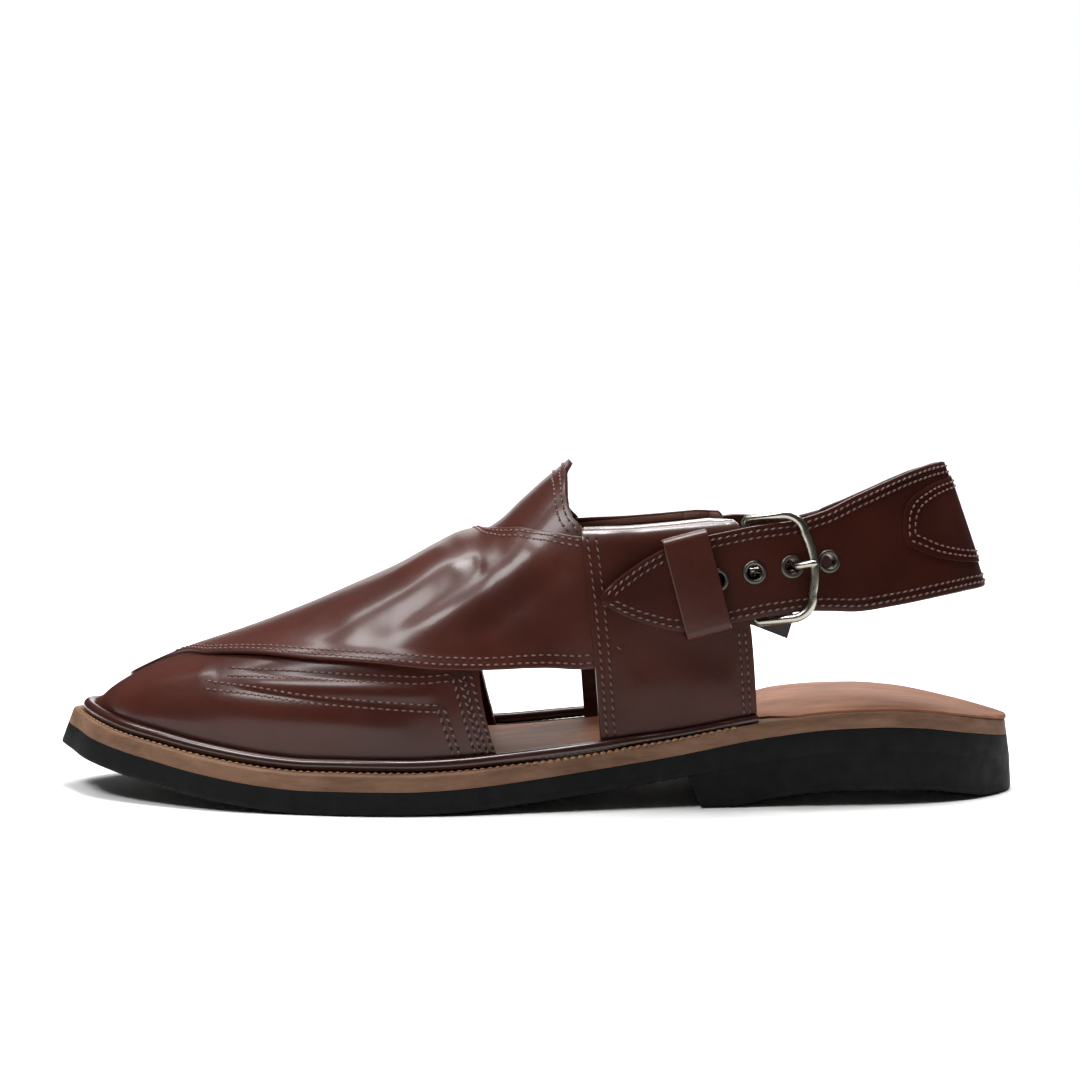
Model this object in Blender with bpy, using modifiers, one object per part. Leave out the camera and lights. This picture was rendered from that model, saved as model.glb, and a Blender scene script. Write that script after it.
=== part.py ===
"""Peshawari chappal, left shoe, standing on its sole.

Metres, +Z up. The toe points to -X, the heel to +X, and the outer side of the foot
faces -Y. The origin is on the floor, under the middle of the sole.
"""

import math

import bmesh
import bpy
import numpy as np
from mathutils import Matrix, Vector

# Sole
SOLE_LENGTH = 0.292
BALL_WIDTH = 0.100
HEEL_WIDTH = 0.066
TOE_SPRING = 0.0128
SEAT_RISE = 0.0160
OUTSOLE_THICKNESS = 0.0065
MIDSOLE_THICKNESS = 0.0046
INSOLE_THICKNESS = 0.0012
SOLE_EDGE_ROUND = 0.0006
HEEL_EDGE_ROUND = 0.0012
HEEL_BREAST = 0.653
HEEL_BREAST_SLANT = 0.0038
HEEL_ARCH = 0.0042
TOE_LEAN = 0.36
TOE_REACH = 0.0015
SIDE_LEAN = 0.06
BACK_LEAN = 0.14
INSOLE_SEAT_INSET = 0.0012
INSOLE_FIT = 0.0007

# Upper
INSTEP_HEIGHT = 0.0990
LAST_TOE_INSET = 0.0105
BULGE = 0.0010
BULGE_HEIGHT = 0.0090
VAMP_WALL = 0.0020
BAND_WALL = 0.0014
QUARTER_WALL = 0.0012
SEAM_SWELL = 0.0014
SKIVE = 0.5
QUARTER_FRONT = 0.554
QUARTER_REAR = 0.722
COLLAR_HEIGHT = 0.0820
WINDOW_TOP = 0.0418
WINDOW_FRONT = 0.454
INNER_FORWARD = 0.0035
LAP = 0.0015
CUT_REACH = 0.090

# Rand, the rolled leather bead between upper and midsole
RAND_RADIUS = 0.0018
RAND_REAR_RADIUS = 0.0011

# Heel strap
STRAP_WIDTH = 0.0265
STRAP_BACK_WIDTH = 0.0400
STRAP_THICKNESS = 0.0024
STRAP_BACK = 0.9465
STRAP_TIP = 0.5647
STRAP_TIP_LENGTH = 0.0260
STRAP_SEWN = 0.6267
STRAP_INNER_DROP = 0.0044
STRAP_CLEARANCE = 0.0028
PRONG_HOLE = 0.0111
EYELET_SPACING = 0.0109
EYELET_COUNT = 4
EYELET_FLANGE_RADIUS = 0.0035
EYELET_BORE_RADIUS = 0.0021
EYELET_SHEET = 0.0004
HEEL_PATCH_THICKNESS = 0.0009

# Buckle
BAR = 0.7164
FRAME_LENGTH = 0.0215
FRAME_HEIGHT = 0.0328
FRAME_WIRE_RADIUS = 0.0013
FRAME_CORNER = 0.0062
FRAME_BOW = 0.0015
FRAME_LIFT = 0.0025
FRAME_ARCH = 0.0014
PRONG_RADIUS = 0.00085
CHAPE_THICKNESS = 0.0011
CHAPE_WIDTH = 0.0225
CHAPE_LENGTH = 0.0080
CHAPE_SLOT = 0.0030
KEEPER = 0.6596
KEEPER_WIDTH = 0.0125
KEEPER_THICKNESS = 0.0012
GUARD_THICKNESS = 0.0014

# Fits
GAP = 0.0003
BITE = 0.0010

# Mesh fineness
SOLE_STATIONS = 40
UPPER_STATIONS = 30
UPPER_RIBS = 26
BAND_STEPS = 30
BAND_RIBS = 9
TOE_CAP = 0.0036
TIP_ANGLE = 0.06
TOE_ANGLE = 0.12

# Plan of the sole. Share of the sole's length from the toe, then how far the outer and the
# inner edge lie from the middle line, as shares of the ball's width.
FORE_PLAN = (
    (0.000, -0.060, 0.060),
    (0.017, 0.050, 0.165),
    (0.039, 0.155, 0.235),
    (0.080, 0.255, 0.310),
    (0.118, 0.320, 0.360),
    (0.154, 0.372, 0.402),
    (0.207, 0.430, 0.455),
    (0.269, 0.470, 0.489),
    (0.335, 0.497, 0.500),
    (0.365, 0.500, 0.493),
    (0.409, 0.493, 0.460),
    (0.459, 0.470, 0.415),
    (0.503, 0.443, 0.378),
    (0.572, 0.405, 0.338),
    (0.640, 0.374, 0.318),
)
# The same behind the waist, as shares of the heel's width.
HEEL_PLAN = (
    (0.706, 0.533, 0.476),
    (0.774, 0.512, 0.485),
    (0.842, 0.488, 0.482),
    (0.894, 0.440, 0.440),
    (0.935, 0.362, 0.364),
    (0.969, 0.248, 0.250),
    (0.990, 0.140, 0.140),
    (1.000, 0.000, 0.000),
)
# Underside of the outsole: share of the length, height as a share of the toe spring.
TOE_LINE = (
    (0.000, 1.000),
    (0.039, 0.810),
    (0.080, 0.610),
    (0.118, 0.455),
    (0.154, 0.300),
    (0.207, 0.125),
    (0.240, 0.045),
    (0.274, 0.000),
    (0.372, 0.000),
)
# The same behind the ball, as a share of the seat's rise.
SEAT_LINE = (
    (0.409, 0.024),
    (0.459, 0.095),
    (0.503, 0.185),
    (0.572, 0.350),
    (0.640, 0.530),
    (0.664, 0.610),
    (0.738, 0.850),
    (0.811, 0.985),
    (0.850, 1.000),
    (0.887, 0.965),
    (0.945, 0.800),
    (1.000, 0.600),
)
# Tread of the heel: share of the length, height as a share of the heel's arch.
HEEL_TREAD = (
    (0.600, 0.00),
    (0.696, 0.00),
    (0.740, 0.55),
    (0.811, 1.00),
    (0.887, 0.92),
    (0.940, 0.35),
    (0.964, 0.00),
    (1.000, 0.00),
)
# The last. Share of the length, its width as a share of the sole's, the height of its ridge
# as a share of the instep height, and the squareness of its section.
LAST = (
    (0.043, 0.800, 0.262, 2.00),
    (0.060, 0.800, 0.300, 2.00),
    (0.085, 0.800, 0.342, 2.00),
    (0.125, 0.800, 0.392, 2.05),
    (0.187, 0.800, 0.450, 2.10),
    (0.256, 0.800, 0.526, 2.15),
    (0.316, 0.800, 0.602, 2.20),
    (0.357, 0.798, 0.656, 2.20),
    (0.404, 0.790, 0.732, 2.25),
    (0.425, 0.786, 0.762, 2.25),
    (0.445, 0.782, 0.776, 2.28),
    (0.466, 0.777, 0.812, 2.30),
    (0.490, 0.772, 0.878, 2.32),
    (0.514, 0.768, 0.942, 2.38),
    (0.538, 0.765, 1.000, 2.45),
    (0.568, 0.765, 1.080, 2.65),
    (0.616, 0.770, 1.190, 2.95),
    (0.722, 0.795, 1.290, 3.20),
    (1.000, 0.820, 1.300, 3.20),
)
# How far the ridge lies inwards of the middle line, as a share of the ball's width.
RIDGE = ((0.000, 0.060), (0.150, 0.045), (0.330, 0.040), (0.450, 0.022), (0.600, 0.005), (1.000, 0.000))
# Lower edge of the crossing band on the outer side: share of the length, height as a share
# of the instep height.
BAND_LOWER = (
    (0.107, 0.412),
    (0.163, 0.437),
    (0.221, 0.445),
    (0.290, 0.432),
    (0.359, 0.417),
    (0.408, 0.409),
    (0.450, 0.418),
    (0.554, 0.426),
    (0.580, 0.428),
)
# Upper edge of the band on the outer side, in the same terms.
BAND_UPPER = ((0.499, 0.802), (0.543, 0.798), (0.580, 0.798))
BAND_TOE_CROSSING = 0.077
BAND_INSTEP_CROSSING = 0.447
# Free edge of the tongue, as seen from the side: offset in x from the peak as a share of the
# quarter's length, height as a share of the way from the collar to the peak.
TONGUE_EDGE = ((0.000, 1.00), (-0.010, 0.90), (-0.052, 0.70), (-0.048, 0.42), (-0.022, 0.14), (0.030, 0.00))
TONGUE_PEAK = 0.540
# Heel strap from the quarter's rear edge to the back of the heel: share of that way, distance
# out as a share of that at the rear edge, height of its middle as a share of the instep
# height, lean in degrees, width as a share of the way from the strap's width to its width at
# the back.
STRAP_FREE = (
    (0.000, 1.000, 0.699, 4.0, 0.00),
    (0.150, 0.948, 0.711, 6.0, 0.00),
    (0.300, 0.885, 0.723, 8.0, 0.18),
    (0.410, 0.822, 0.733, 10.0, 0.40),
    (0.560, 0.714, 0.758, 13.0, 0.62),
    (0.710, 0.572, 0.784, 16.0, 0.80),
    (0.830, 0.430, 0.803, 18.0, 0.92),
    (0.920, 0.282, 0.814, 18.7, 0.98),
    (0.978, 0.163, 0.818, 19.0, 1.00),
    (1.000, 0.000, 0.818, 19.0, 1.00),
)
# Rows of the strap between its pointed end and the quarter's rear edge: share of that way,
# height of its middle as a share of the instep height.
STRAP_HELD = ((0.26, 0.669), (0.56, 0.681), (0.81, 0.691))
# The sewn end on the inner quarter: share of the way from the sewn end to the rear edge,
# height in the same terms.
STRAP_SEWN_LINE = ((0.68, 0.683), (0.36, 0.668), (0.00, 0.650))
# The pointed end over the quarter: share of the pointed length from its tip, width as a share
# of the strap's, height of its middle as a share of the instep height.
STRAP_POINT = (
    (0.00, 0.05, 0.613),
    (0.06, 0.18, 0.618),
    (0.13, 0.29, 0.622),
    (0.26, 0.46, 0.626),
    (0.42, 0.63, 0.631),
    (0.60, 0.79, 0.638),
    (0.78, 0.92, 0.645),
    (1.00, 1.00, 0.656),
)
# Outline of the heel patch: reach to each side, upper edge and lower edge below the strap's
# own upper edge, all as shares of the strap's back width.
PATCH_OUTLINE = (
    (0.00, 0.120, 0.820),
    (0.27, 0.140, 0.790),
    (0.48, 0.165, 0.740),
    (0.62, 0.200, 0.680),
    (0.70, 0.250, 0.625),
    (0.76, 0.330, 0.585),
    (0.80, 0.430, 0.560),
    (0.82, 0.500, 0.535),
)
# Outline of the buckle guard seen from the side: reach behind the bar as a share of the
# frame's length, height over the frame's middle as a share of the frame's height.
GUARD_OUTLINE = (
    (-0.30, 0.36),
    (0.20, 0.40),
    (0.52, 0.30),
    (0.60, -0.44),
    (0.52, -0.62),
    (0.05, -0.50),
    (-0.30, -0.44),
)

UP = Vector((0, 0, 1))


def slopes(keys, values):
    """End slopes of a smooth curve through the rows that never overshoots them."""
    step = np.diff(keys)
    rise = np.diff(values) / step
    found = np.zeros(len(keys))
    found[0], found[-1] = rise[0], rise[-1]
    for i in range(1, len(keys) - 1):
        if rise[i - 1] * rise[i] > 0:
            before, after = 2 * step[i] + step[i - 1], step[i] + 2 * step[i - 1]
            found[i] = (before + after) / (before / rise[i - 1] + after / rise[i])
    return found


def smooth(keys, values):
    """A function through (key, value) rows, level where two rows are level."""
    keys, values = np.array(keys, float), np.array(values, float)
    tilt = slopes(keys, values)

    def at(key):
        key = min(max(key, keys[0]), keys[-1])
        i = min(int(np.searchsorted(keys, key, side="right")) - 1, len(keys) - 2)
        step = keys[i + 1] - keys[i]
        t = (key - keys[i]) / step
        return float(
            values[i] * (1 + 2 * t) * (1 - t) ** 2
            + tilt[i] * step * t * (1 - t) ** 2
            + values[i + 1] * t * t * (3 - 2 * t)
            + tilt[i + 1] * step * t * t * (t - 1)
        )

    return at


def ease(t):
    """0 below 0, 1 above 1, and smooth between."""
    t = min(max(t, 0.0), 1.0)
    return t * t * (3 - 2 * t)


def sweep_of(share):
    """Angle that spaces stations closely at toe and heel, for a share of the length."""
    return math.acos(1 - 2 * min(max(share, 0.0), 1.0))


def share_of(x):
    return x / SOLE_LENGTH + 0.5


def x_of(share):
    return (share - 0.5) * SOLE_LENGTH


def plan_rows():
    """The sole's plan with both tables in metres: share, outer distance, inner distance."""
    fore = [(s, o * BALL_WIDTH, i * BALL_WIDTH) for s, o, i in FORE_PLAN]
    return fore + [(s, o * HEEL_WIDTH, i * HEEL_WIDTH) for s, o, i in HEEL_PLAN]


PLAN = plan_rows()
outer_edge = smooth([sweep_of(r[0]) for r in PLAN], [-r[1] for r in PLAN])
inner_edge = smooth([sweep_of(r[0]) for r in PLAN], [r[2] for r in PLAN])
LINE = [(s, z * TOE_SPRING) for s, z in TOE_LINE] + [(s, z * SEAT_RISE) for s, z in SEAT_LINE]
under_line = smooth([r[0] for r in LINE], [r[1] for r in LINE])
heel_line = smooth([r[0] for r in HEEL_TREAD], [r[1] * HEEL_ARCH for r in HEEL_TREAD])
last_width = smooth([r[0] for r in LAST], [r[1] for r in LAST])
last_ridge = smooth([r[0] for r in LAST], [r[2] * INSTEP_HEIGHT for r in LAST])
last_square = smooth([r[0] for r in LAST], [r[3] for r in LAST])
ridge_side = smooth([r[0] for r in RIDGE], [r[1] * BALL_WIDTH for r in RIDGE])

MIDSOLE_BASE = OUTSOLE_THICKNESS + GAP
INSOLE_BASE = MIDSOLE_BASE + MIDSOLE_THICKNESS + GAP


def underside(x):
    """Height of the outsole's underside over the floor."""
    return under_line(share_of(x))


def bed(x):
    """Height at which upper, rand and insole stand on the midsole."""
    return underside(x) + INSOLE_BASE


def outline(angle, toe_inset, side_share, back_inset):
    """One station of an inset outline: x, outer y, inner y."""
    reach = SOLE_LENGTH - toe_inset - back_inset
    x = -SOLE_LENGTH / 2 + toe_inset + reach * (1 - math.cos(angle)) / 2
    outer, inner = outer_edge(angle), inner_edge(angle)
    middle = (outer + inner) / 2
    return x, middle + (outer - middle) * side_share, middle + (inner - middle) * side_share


def leaning(height):
    """Insets of the sole's edge at a height above its underside."""
    side = 1 - SIDE_LEAN * height / (BALL_WIDTH / 2)
    return TOE_LEAN * height - TOE_REACH, side, BACK_LEAN * height


def new_object(name, mesh, color, roughness, metallic=0.0, hidden=False):
    """An object in the shoe's collection, or a helper in the other one."""
    thing = bpy.data.objects.new(name, mesh)
    (HELPERS if hidden else SHOE).objects.link(thing)
    if hidden:
        thing.hide_render = True
        thing.display_type = "WIRE"
        return thing
    material = bpy.data.materials.new(name)
    material.use_nodes = True
    shader = material.node_tree.nodes["Principled BSDF"]
    shader.inputs["Base Color"].default_value = (*color, 1.0)
    shader.inputs["Roughness"].default_value = roughness
    shader.inputs["Metallic"].default_value = metallic
    thing.data.materials.append(material)
    return thing


def mesh_from(name, points, faces):
    """A mesh whose faces all point out."""
    mesh = bpy.data.meshes.new(name)
    mesh.from_pydata([tuple(p) for p in points], [], faces)
    work = bmesh.new()
    work.from_mesh(mesh)
    bmesh.ops.recalc_face_normals(work, faces=work.faces)
    work.to_mesh(mesh)
    work.free()
    return mesh


def loft(name, rings, looped=False):
    """A closed solid through rings of as many points each, capped at both ends or looped."""
    count = len(rings[0])
    points = [p for ring in rings for p in ring]
    faces = []
    spans = len(rings) if looped else len(rings) - 1
    for i in range(spans):
        after = (i + 1) % len(rings)
        for j in range(count):
            k = (j + 1) % count
            faces.append((i * count + j, i * count + k, after * count + k, after * count + j))
    if not looped:
        faces.append(tuple(range(count)))
        faces.append(tuple(len(points) - 1 - j for j in range(count)))
    return mesh_from(name, points, faces)


def shell(name, inner, outer, capped=False):
    """A wall between two grids of points. Capped closes the first row across the wall."""
    rows, columns = len(inner), len(inner[0])
    points = [p for row in inner for p in row] + [p for row in outer for p in row]
    lift = rows * columns

    def at(i, j, side):
        return side * lift + i * columns + j

    faces = []
    for i in range(rows - 1):
        for j in range(columns - 1):
            for side in (0, 1):
                faces.append((at(i, j, side), at(i + 1, j, side), at(i + 1, j + 1, side), at(i, j + 1, side)))
    for j in range(columns - 1):
        if not capped:
            faces.append((at(0, j, 0), at(0, j + 1, 0), at(0, j + 1, 1), at(0, j, 1)))
        faces.append((at(rows - 1, j, 0), at(rows - 1, j + 1, 0), at(rows - 1, j + 1, 1), at(rows - 1, j, 1)))
    for i in range(rows - 1):
        for j in (0, columns - 1):
            faces.append((at(i, j, 0), at(i + 1, j, 0), at(i + 1, j, 1), at(i, j, 1)))
    if capped:
        faces.append(tuple(at(0, j, 0) for j in range(columns)))
        faces.append(tuple(at(0, j, 1) for j in range(columns)))
        faces.append((at(0, 0, 0), at(0, columns - 1, 0), at(0, columns - 1, 1), at(0, 0, 1)))
    return mesh_from(name, points, faces)


def prism(name, profile, y_low, y_high):
    """A cutter: an outline of (x, z) points seen from the side, drawn out along y."""
    rings = [[Vector((x, y, z)) for x, z in profile] for y in (y_low, y_high)]
    return new_object(name, loft(name, rings), None, None, hidden=True)


def boolean(target, tool, operation):
    """Adds a live Boolean of that operation."""
    step = target.modifiers.new(tool.name, "BOOLEAN")
    step.operation = operation
    step.object = tool
    step.solver = "EXACT"


def round_edges(thing, width, angle=math.radians(40)):
    """A small chamfer on the sharp edges."""
    step = thing.modifiers.new("rounded", "BEVEL")
    step.width = width
    step.segments = 1
    step.limit_method = "ANGLE"
    step.angle_limit = angle


def shade(thing):
    thing.data.shade_smooth()
    thing.data.set_sharp_from_angle(angle=math.radians(35))


def slab_rings(base, top, inset_at, angles):
    """Four-cornered rings of a sole layer between two heights above the underside."""
    rings = []
    for angle in angles:
        low_x, low_outer, low_inner = outline(angle, *inset_at(base, angle))
        high_x, high_outer, high_inner = outline(angle, *inset_at(top, angle))
        low_z, high_z = underside(low_x) + base, underside(high_x) + top
        rings.append(
            [
                Vector((low_x, low_outer, low_z)),
                Vector((high_x, high_outer, high_z)),
                Vector((high_x, high_inner, high_z)),
                Vector((low_x, low_inner, low_z)),
            ]
        )
    return rings


def station_angles(count, first=TIP_ANGLE, last=math.pi - TIP_ANGLE):
    return [first + (last - first) * i / (count - 1) for i in range(count)]


def make_outsole():
    """Black rubber through-sole of even thickness."""
    rings = slab_rings(0, OUTSOLE_THICKNESS, lambda n, _: leaning(n), station_angles(SOLE_STATIONS))
    sole = new_object("outsole", loft("outsole", rings), (0.013, 0.013, 0.014), 0.55)
    round_edges(sole, SOLE_EDGE_ROUND)
    shade(sole)


def make_midsole():
    """Brown leather board between the rubber and the upper; its rim is the stitched ledge."""
    rings = slab_rings(
        MIDSOLE_BASE, MIDSOLE_BASE + MIDSOLE_THICKNESS, lambda n, _: leaning(n), station_angles(SOLE_STATIONS)
    )
    board = new_object("midsole", loft("midsole", rings), (0.130, 0.068, 0.042), 0.60)
    round_edges(board, SOLE_EDGE_ROUND)
    shade(board)


def make_heel():
    """Rubber block under the seat, with a slanted breast and a tread arched along its length."""
    breast = outline_angle_at(x_of(HEEL_BREAST))
    angles = station_angles(18, breast, math.pi - TIP_ANGLE)
    back = SOLE_LENGTH / 2
    rings = []
    for angle in angles:
        x, outer, inner = outline(angle, 0, 1, 0)
        slant = HEEL_BREAST_SLANT * (back - x) / (back - x_of(HEEL_BREAST))
        foot = x + slant
        top, tread = underside(x) - GAP, heel_line(share_of(foot))
        rings.append(
            [
                Vector((foot, outer, tread)),
                Vector((x, outer, top)),
                Vector((x, inner, top)),
                Vector((foot, inner, tread)),
            ]
        )
    block = new_object("heel", loft("heel", rings), (0.012, 0.012, 0.013), 0.55)
    round_edges(block, HEEL_EDGE_ROUND)
    shade(block)


def outline_angle_at(x):
    """Station angle of the sole's own outline at x."""
    return sweep_of(share_of(x))


def make_insole():
    """Tan leather sock: inside the wall as far as the quarters go, out to the edge behind."""
    start, _ = last_reach()
    first = start + TOE_CAP
    reach = SOLE_LENGTH / 2 - INSOLE_SEAT_INSET - first
    seat = 1 - INSOLE_SEAT_INSET / (HEEL_WIDTH / 2)
    rings = []
    for angle in station_angles(SOLE_STATIONS):
        x = first + reach * (1 - math.cos(angle)) / 2
        section = section_at(last_angle(x))
        inside = [section["ridge"] - section["outer"] + INSOLE_FIT]
        inside.append(section["ridge"] + section["inner"] - INSOLE_FIT)
        edge = sweep_of((x + SOLE_LENGTH / 2) / (SOLE_LENGTH - INSOLE_SEAT_INSET))
        outside = [outer_edge(edge) * seat, inner_edge(edge) * seat]
        open_out = ease((share_of(x) - QUARTER_REAR - 0.008) / 0.030)
        outer, inner = [a + (b - a) * open_out for a, b in zip(inside, outside)]
        low, high = bed(x), bed(x) + INSOLE_THICKNESS
        corners = ((outer, low), (outer, high), (inner, high), (inner, low))
        rings.append([Vector((x, y, z)) for y, z in corners])
    shade(new_object("insole", loft("insole", rings), (0.36, 0.17, 0.10), 0.50))


def last_reach():
    """Where the last starts and how long it is, heel end included."""
    start = -SOLE_LENGTH / 2 + LAST_TOE_INSET
    return start, SOLE_LENGTH - LAST_TOE_INSET


def last_angle(x):
    start, reach = last_reach()
    return sweep_of((x - start) / reach)


def last_x(angle):
    start, reach = last_reach()
    return start + reach * (1 - math.cos(angle)) / 2


def section_at(angle):
    """Sizes of the last's section: x, base, half widths, ridge y, height, squareness."""
    x = last_x(angle)
    share = share_of(x)
    outer, inner = outer_edge(angle), inner_edge(angle)
    middle = (outer + inner) / 2
    scale = last_width(share)
    ridge = ridge_side(share)
    base = bed(x)
    return {
        "x": x,
        "base": base,
        "outer": ridge - (middle + (outer - middle) * scale),
        "inner": (middle + (inner - middle) * scale) - ridge,
        "ridge": ridge,
        "height": last_ridge(share) - base,
        "square": last_square(share),
    }


LOW_SHARE = 0.16


def last_point(angle, turn):
    """A point of the last. Turn runs from -1, the outer foot edge, over the ridge to +1."""
    s = section_at(angle)
    half = s["outer"] if turn < 0 else s["inner"]
    side = -1 if turn < 0 else 1
    rise = 1 - abs(turn)
    height = s["height"]
    low = min(BULGE_HEIGHT, 0.3 * height)
    swell = BULGE * min(1.0, height / (3 * BULGE_HEIGHT))
    if rise < LOW_SHARE:
        t = rise / LOW_SHARE
        y, z = half + swell * (1 - (1 - t) ** 2), low * t
    else:
        bend = (rise - LOW_SHARE) / (1 - LOW_SHARE) * math.pi / 2
        power = 2 / s["square"]
        y = (half + swell) * max(math.cos(bend), 0.0) ** power
        z = low + (height - low) * math.sin(bend) ** power
    return Vector((s["x"], s["ridge"] + side * y, s["base"] + z))


def turn_at(angle, z, side):
    """Turn at which the last has a height z over the floor, on one side."""
    s = section_at(angle)
    height = s["height"]
    low = min(BULGE_HEIGHT, 0.3 * height)
    up = z - s["base"]
    if up <= low:
        rise = LOW_SHARE * max(up, 0.0) / low
    else:
        level = min((up - low) / (height - low), 1.0)
        bend = math.asin(level ** (s["square"] / 2))
        rise = LOW_SHARE + (1 - LOW_SHARE) * bend / (math.pi / 2)
    return side * (1 - rise)


def last_normal(angle, turn):
    """Outward normal of the last, level near its foot so that the wall stays on the bed."""
    step = 1e-3
    a = last_point(max(angle - step, 0.01), turn)
    b = last_point(angle + step, turn)
    c = last_point(angle, max(turn - step, -1.0))
    d = last_point(angle, min(turn + step, 1.0))
    normal = (b - a).cross(d - c).normalized()
    out = Vector((0, turn, 1 - abs(turn)))
    if normal.dot(out) < 0:
        normal = -normal
    if abs(turn) > 1 - LOW_SHARE:
        level = Vector((normal.x, normal.y, 0)).normalized()
        share = (abs(turn) - 1 + LOW_SHARE) / LOW_SHARE
        normal = normal.lerp(level, ease(2 * share)).normalized()
    return normal


def wall_point(angle, turn, offset, lift=0.0):
    """A point at a distance out from the last, raised by lift at its foot."""
    point = last_point(angle, turn) + last_normal(angle, turn) * offset
    floor = bed(point.x) + lift
    point.z = floor if abs(turn) == 1 else max(point.z, floor)
    return point


def vamp_grid(first, offset):
    """The inner layer: tongue, vamp and linings of the quarters, before they are cut."""
    last = last_angle(x_of(QUARTER_REAR) + 0.012)
    rows = []
    for i in range(UPPER_STATIONS):
        angle = first + (last - first) * i / (UPPER_STATIONS - 1)
        turns = [-1 + 2 * j / UPPER_RIBS for j in range(UPPER_RIBS + 1)]
        rows.append([wall_point(angle, turn, offset) for turn in turns])
    return rows


def band_edges():
    """Both edges of the crossing band as lists of (angle, turn), from the inner foot edge
    over the ridge to the outer quarter."""
    lower = [(0.30, 1.0), (0.35, 0.50)]
    lower.append((last_angle(x_of(BAND_TOE_CROSSING)), 0.0))
    for share, height in BAND_LOWER:
        angle = last_angle(x_of(share))
        lower.append((angle, turn_at(angle, height * INSTEP_HEIGHT - BAND_WALL, -1)))
    upper = []
    for share, height in ((WINDOW_FRONT + 0.010, 0.20), (WINDOW_FRONT - 0.008, 0.42), (0.447, 0.66)):
        angle = last_angle(x_of(share) - INNER_FORWARD)
        upper.append((angle, turn_at(angle, height * INSTEP_HEIGHT, 1)))
    upper[0] = (upper[0][0], 1.0)
    upper.append((last_angle(x_of(BAND_INSTEP_CROSSING)), 0.0))
    for share, height in BAND_UPPER:
        angle = last_angle(x_of(share))
        upper.append((angle, turn_at(angle, height * INSTEP_HEIGHT - BAND_WALL, -1)))
    return lower, upper


def along(points, count):
    """As many points, evenly spaced by real distance on the last, along a list of
    (angle, turn)."""
    places = [last_point(a, t) for a, t in points]
    run = [0.0]
    for p, q in zip(places, places[1:]):
        run.append(run[-1] + (q - p).length)
    angle_at = smooth(run, [p[0] for p in points])
    turn_of = smooth(run, [p[1] for p in points])
    marks = [run[-1] * i / (count - 1) for i in range(count)]
    return [(angle_at(m), turn_of(m)) for m in marks]


def band_grid(offset, lift):
    """The crossing band, from the inner foot edge over the vamp to the outer quarter."""
    lower, upper = band_edges()
    lower, upper = along(lower, BAND_STEPS), along(upper, BAND_STEPS)
    rows = []
    for (a, s), (b, t) in zip(lower, upper):
        row = []
        for j in range(BAND_RIBS + 1):
            k = j / BAND_RIBS
            angle, turn = a + (b - a) * k, s + (t - s) * k
            skive = max(ease((turn - 0.72) / 0.28), 1 - ease((last_x(angle) - x_of(0.08)) / 0.030))
            thin = (offset - VAMP_WALL) * SKIVE * skive if offset > VAMP_WALL else 0
            row.append(wall_point(angle, turn, offset - thin, lift))
        rows.append(row)
    return rows


def quarter_offset(x):
    """Outer face of a quarter: it swells where it laps over the end of the band."""
    front = x_of(QUARTER_FRONT)
    return VAMP_WALL + QUARTER_WALL + SEAM_SWELL * (1 - ease((x - front - 0.003) / 0.013))


def quarter_front(z, side):
    """Front edge of a quarter, which leans forward as it rises."""
    rise = (z - bed(x_of(QUARTER_FRONT))) / (COLLAR_HEIGHT - bed(x_of(QUARTER_FRONT)))
    shift = INNER_FORWARD if side > 0 else 0
    return x_of(QUARTER_FRONT) + 0.0030 - 0.0048 * rise - shift


def quarter_grid(side, outer, lift):
    """One quarter's outer leather, past its final upper and rear edges."""
    rear = x_of(QUARTER_REAR) + 0.008
    high = turn_at(last_angle(x_of(QUARTER_FRONT)), COLLAR_HEIGHT + 0.006, 1)
    rows = []
    for i in range(10):
        row = []
        for j in range(10):
            turn = side * (1 - (1 - high) * j / 9)
            front = quarter_front(last_point(last_angle(x_of(QUARTER_FRONT)), turn).z, side)
            x = front + (rear - front) * (i / 9) ** 1.4
            angle = last_angle(x)
            offset = quarter_offset(x) if outer else VAMP_WALL - BITE
            row.append(wall_point(angle, turn, offset, lift))
        rows.append(row)
    return rows


def window_profile(front_x, rear_x, top):
    """A side window down to the midsole, its front edge leaning forward as it rises."""
    floor = 0.004
    return [
        (front_x + 0.0080, floor),
        (front_x, top),
        (rear_x, top),
        (rear_x + 0.0030, floor),
    ]


def collar_profile():
    """What is cut away over the collar, behind the tongue and behind the quarters."""
    peak = x_of(TONGUE_PEAK)
    length = x_of(QUARTER_REAR) - x_of(QUARTER_FRONT)
    rise = INSTEP_HEIGHT + 0.004 - COLLAR_HEIGHT
    points = [(peak + 0.0002, 1.5 * INSTEP_HEIGHT)]
    for back, up in TONGUE_EDGE:
        points.append((peak + back * length, COLLAR_HEIGHT + up * rise))
    rear = x_of(QUARTER_REAR)
    points += [(x_of(0.62), COLLAR_HEIGHT - 0.0004), (rear - 0.0075, COLLAR_HEIGHT + 0.0016)]
    points += [(rear - 0.0048, COLLAR_HEIGHT - 0.0010), (rear - 0.0036, 0.76 * COLLAR_HEIGHT)]
    points += [(rear - 0.0016, 0.61 * COLLAR_HEIGHT), (rear, 0.32 * COLLAR_HEIGHT), (rear + 0.0006, 0.005)]
    points += [(SOLE_LENGTH / 2, 0.005), (SOLE_LENGTH / 2, 1.5 * INSTEP_HEIGHT)]
    return points


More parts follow.
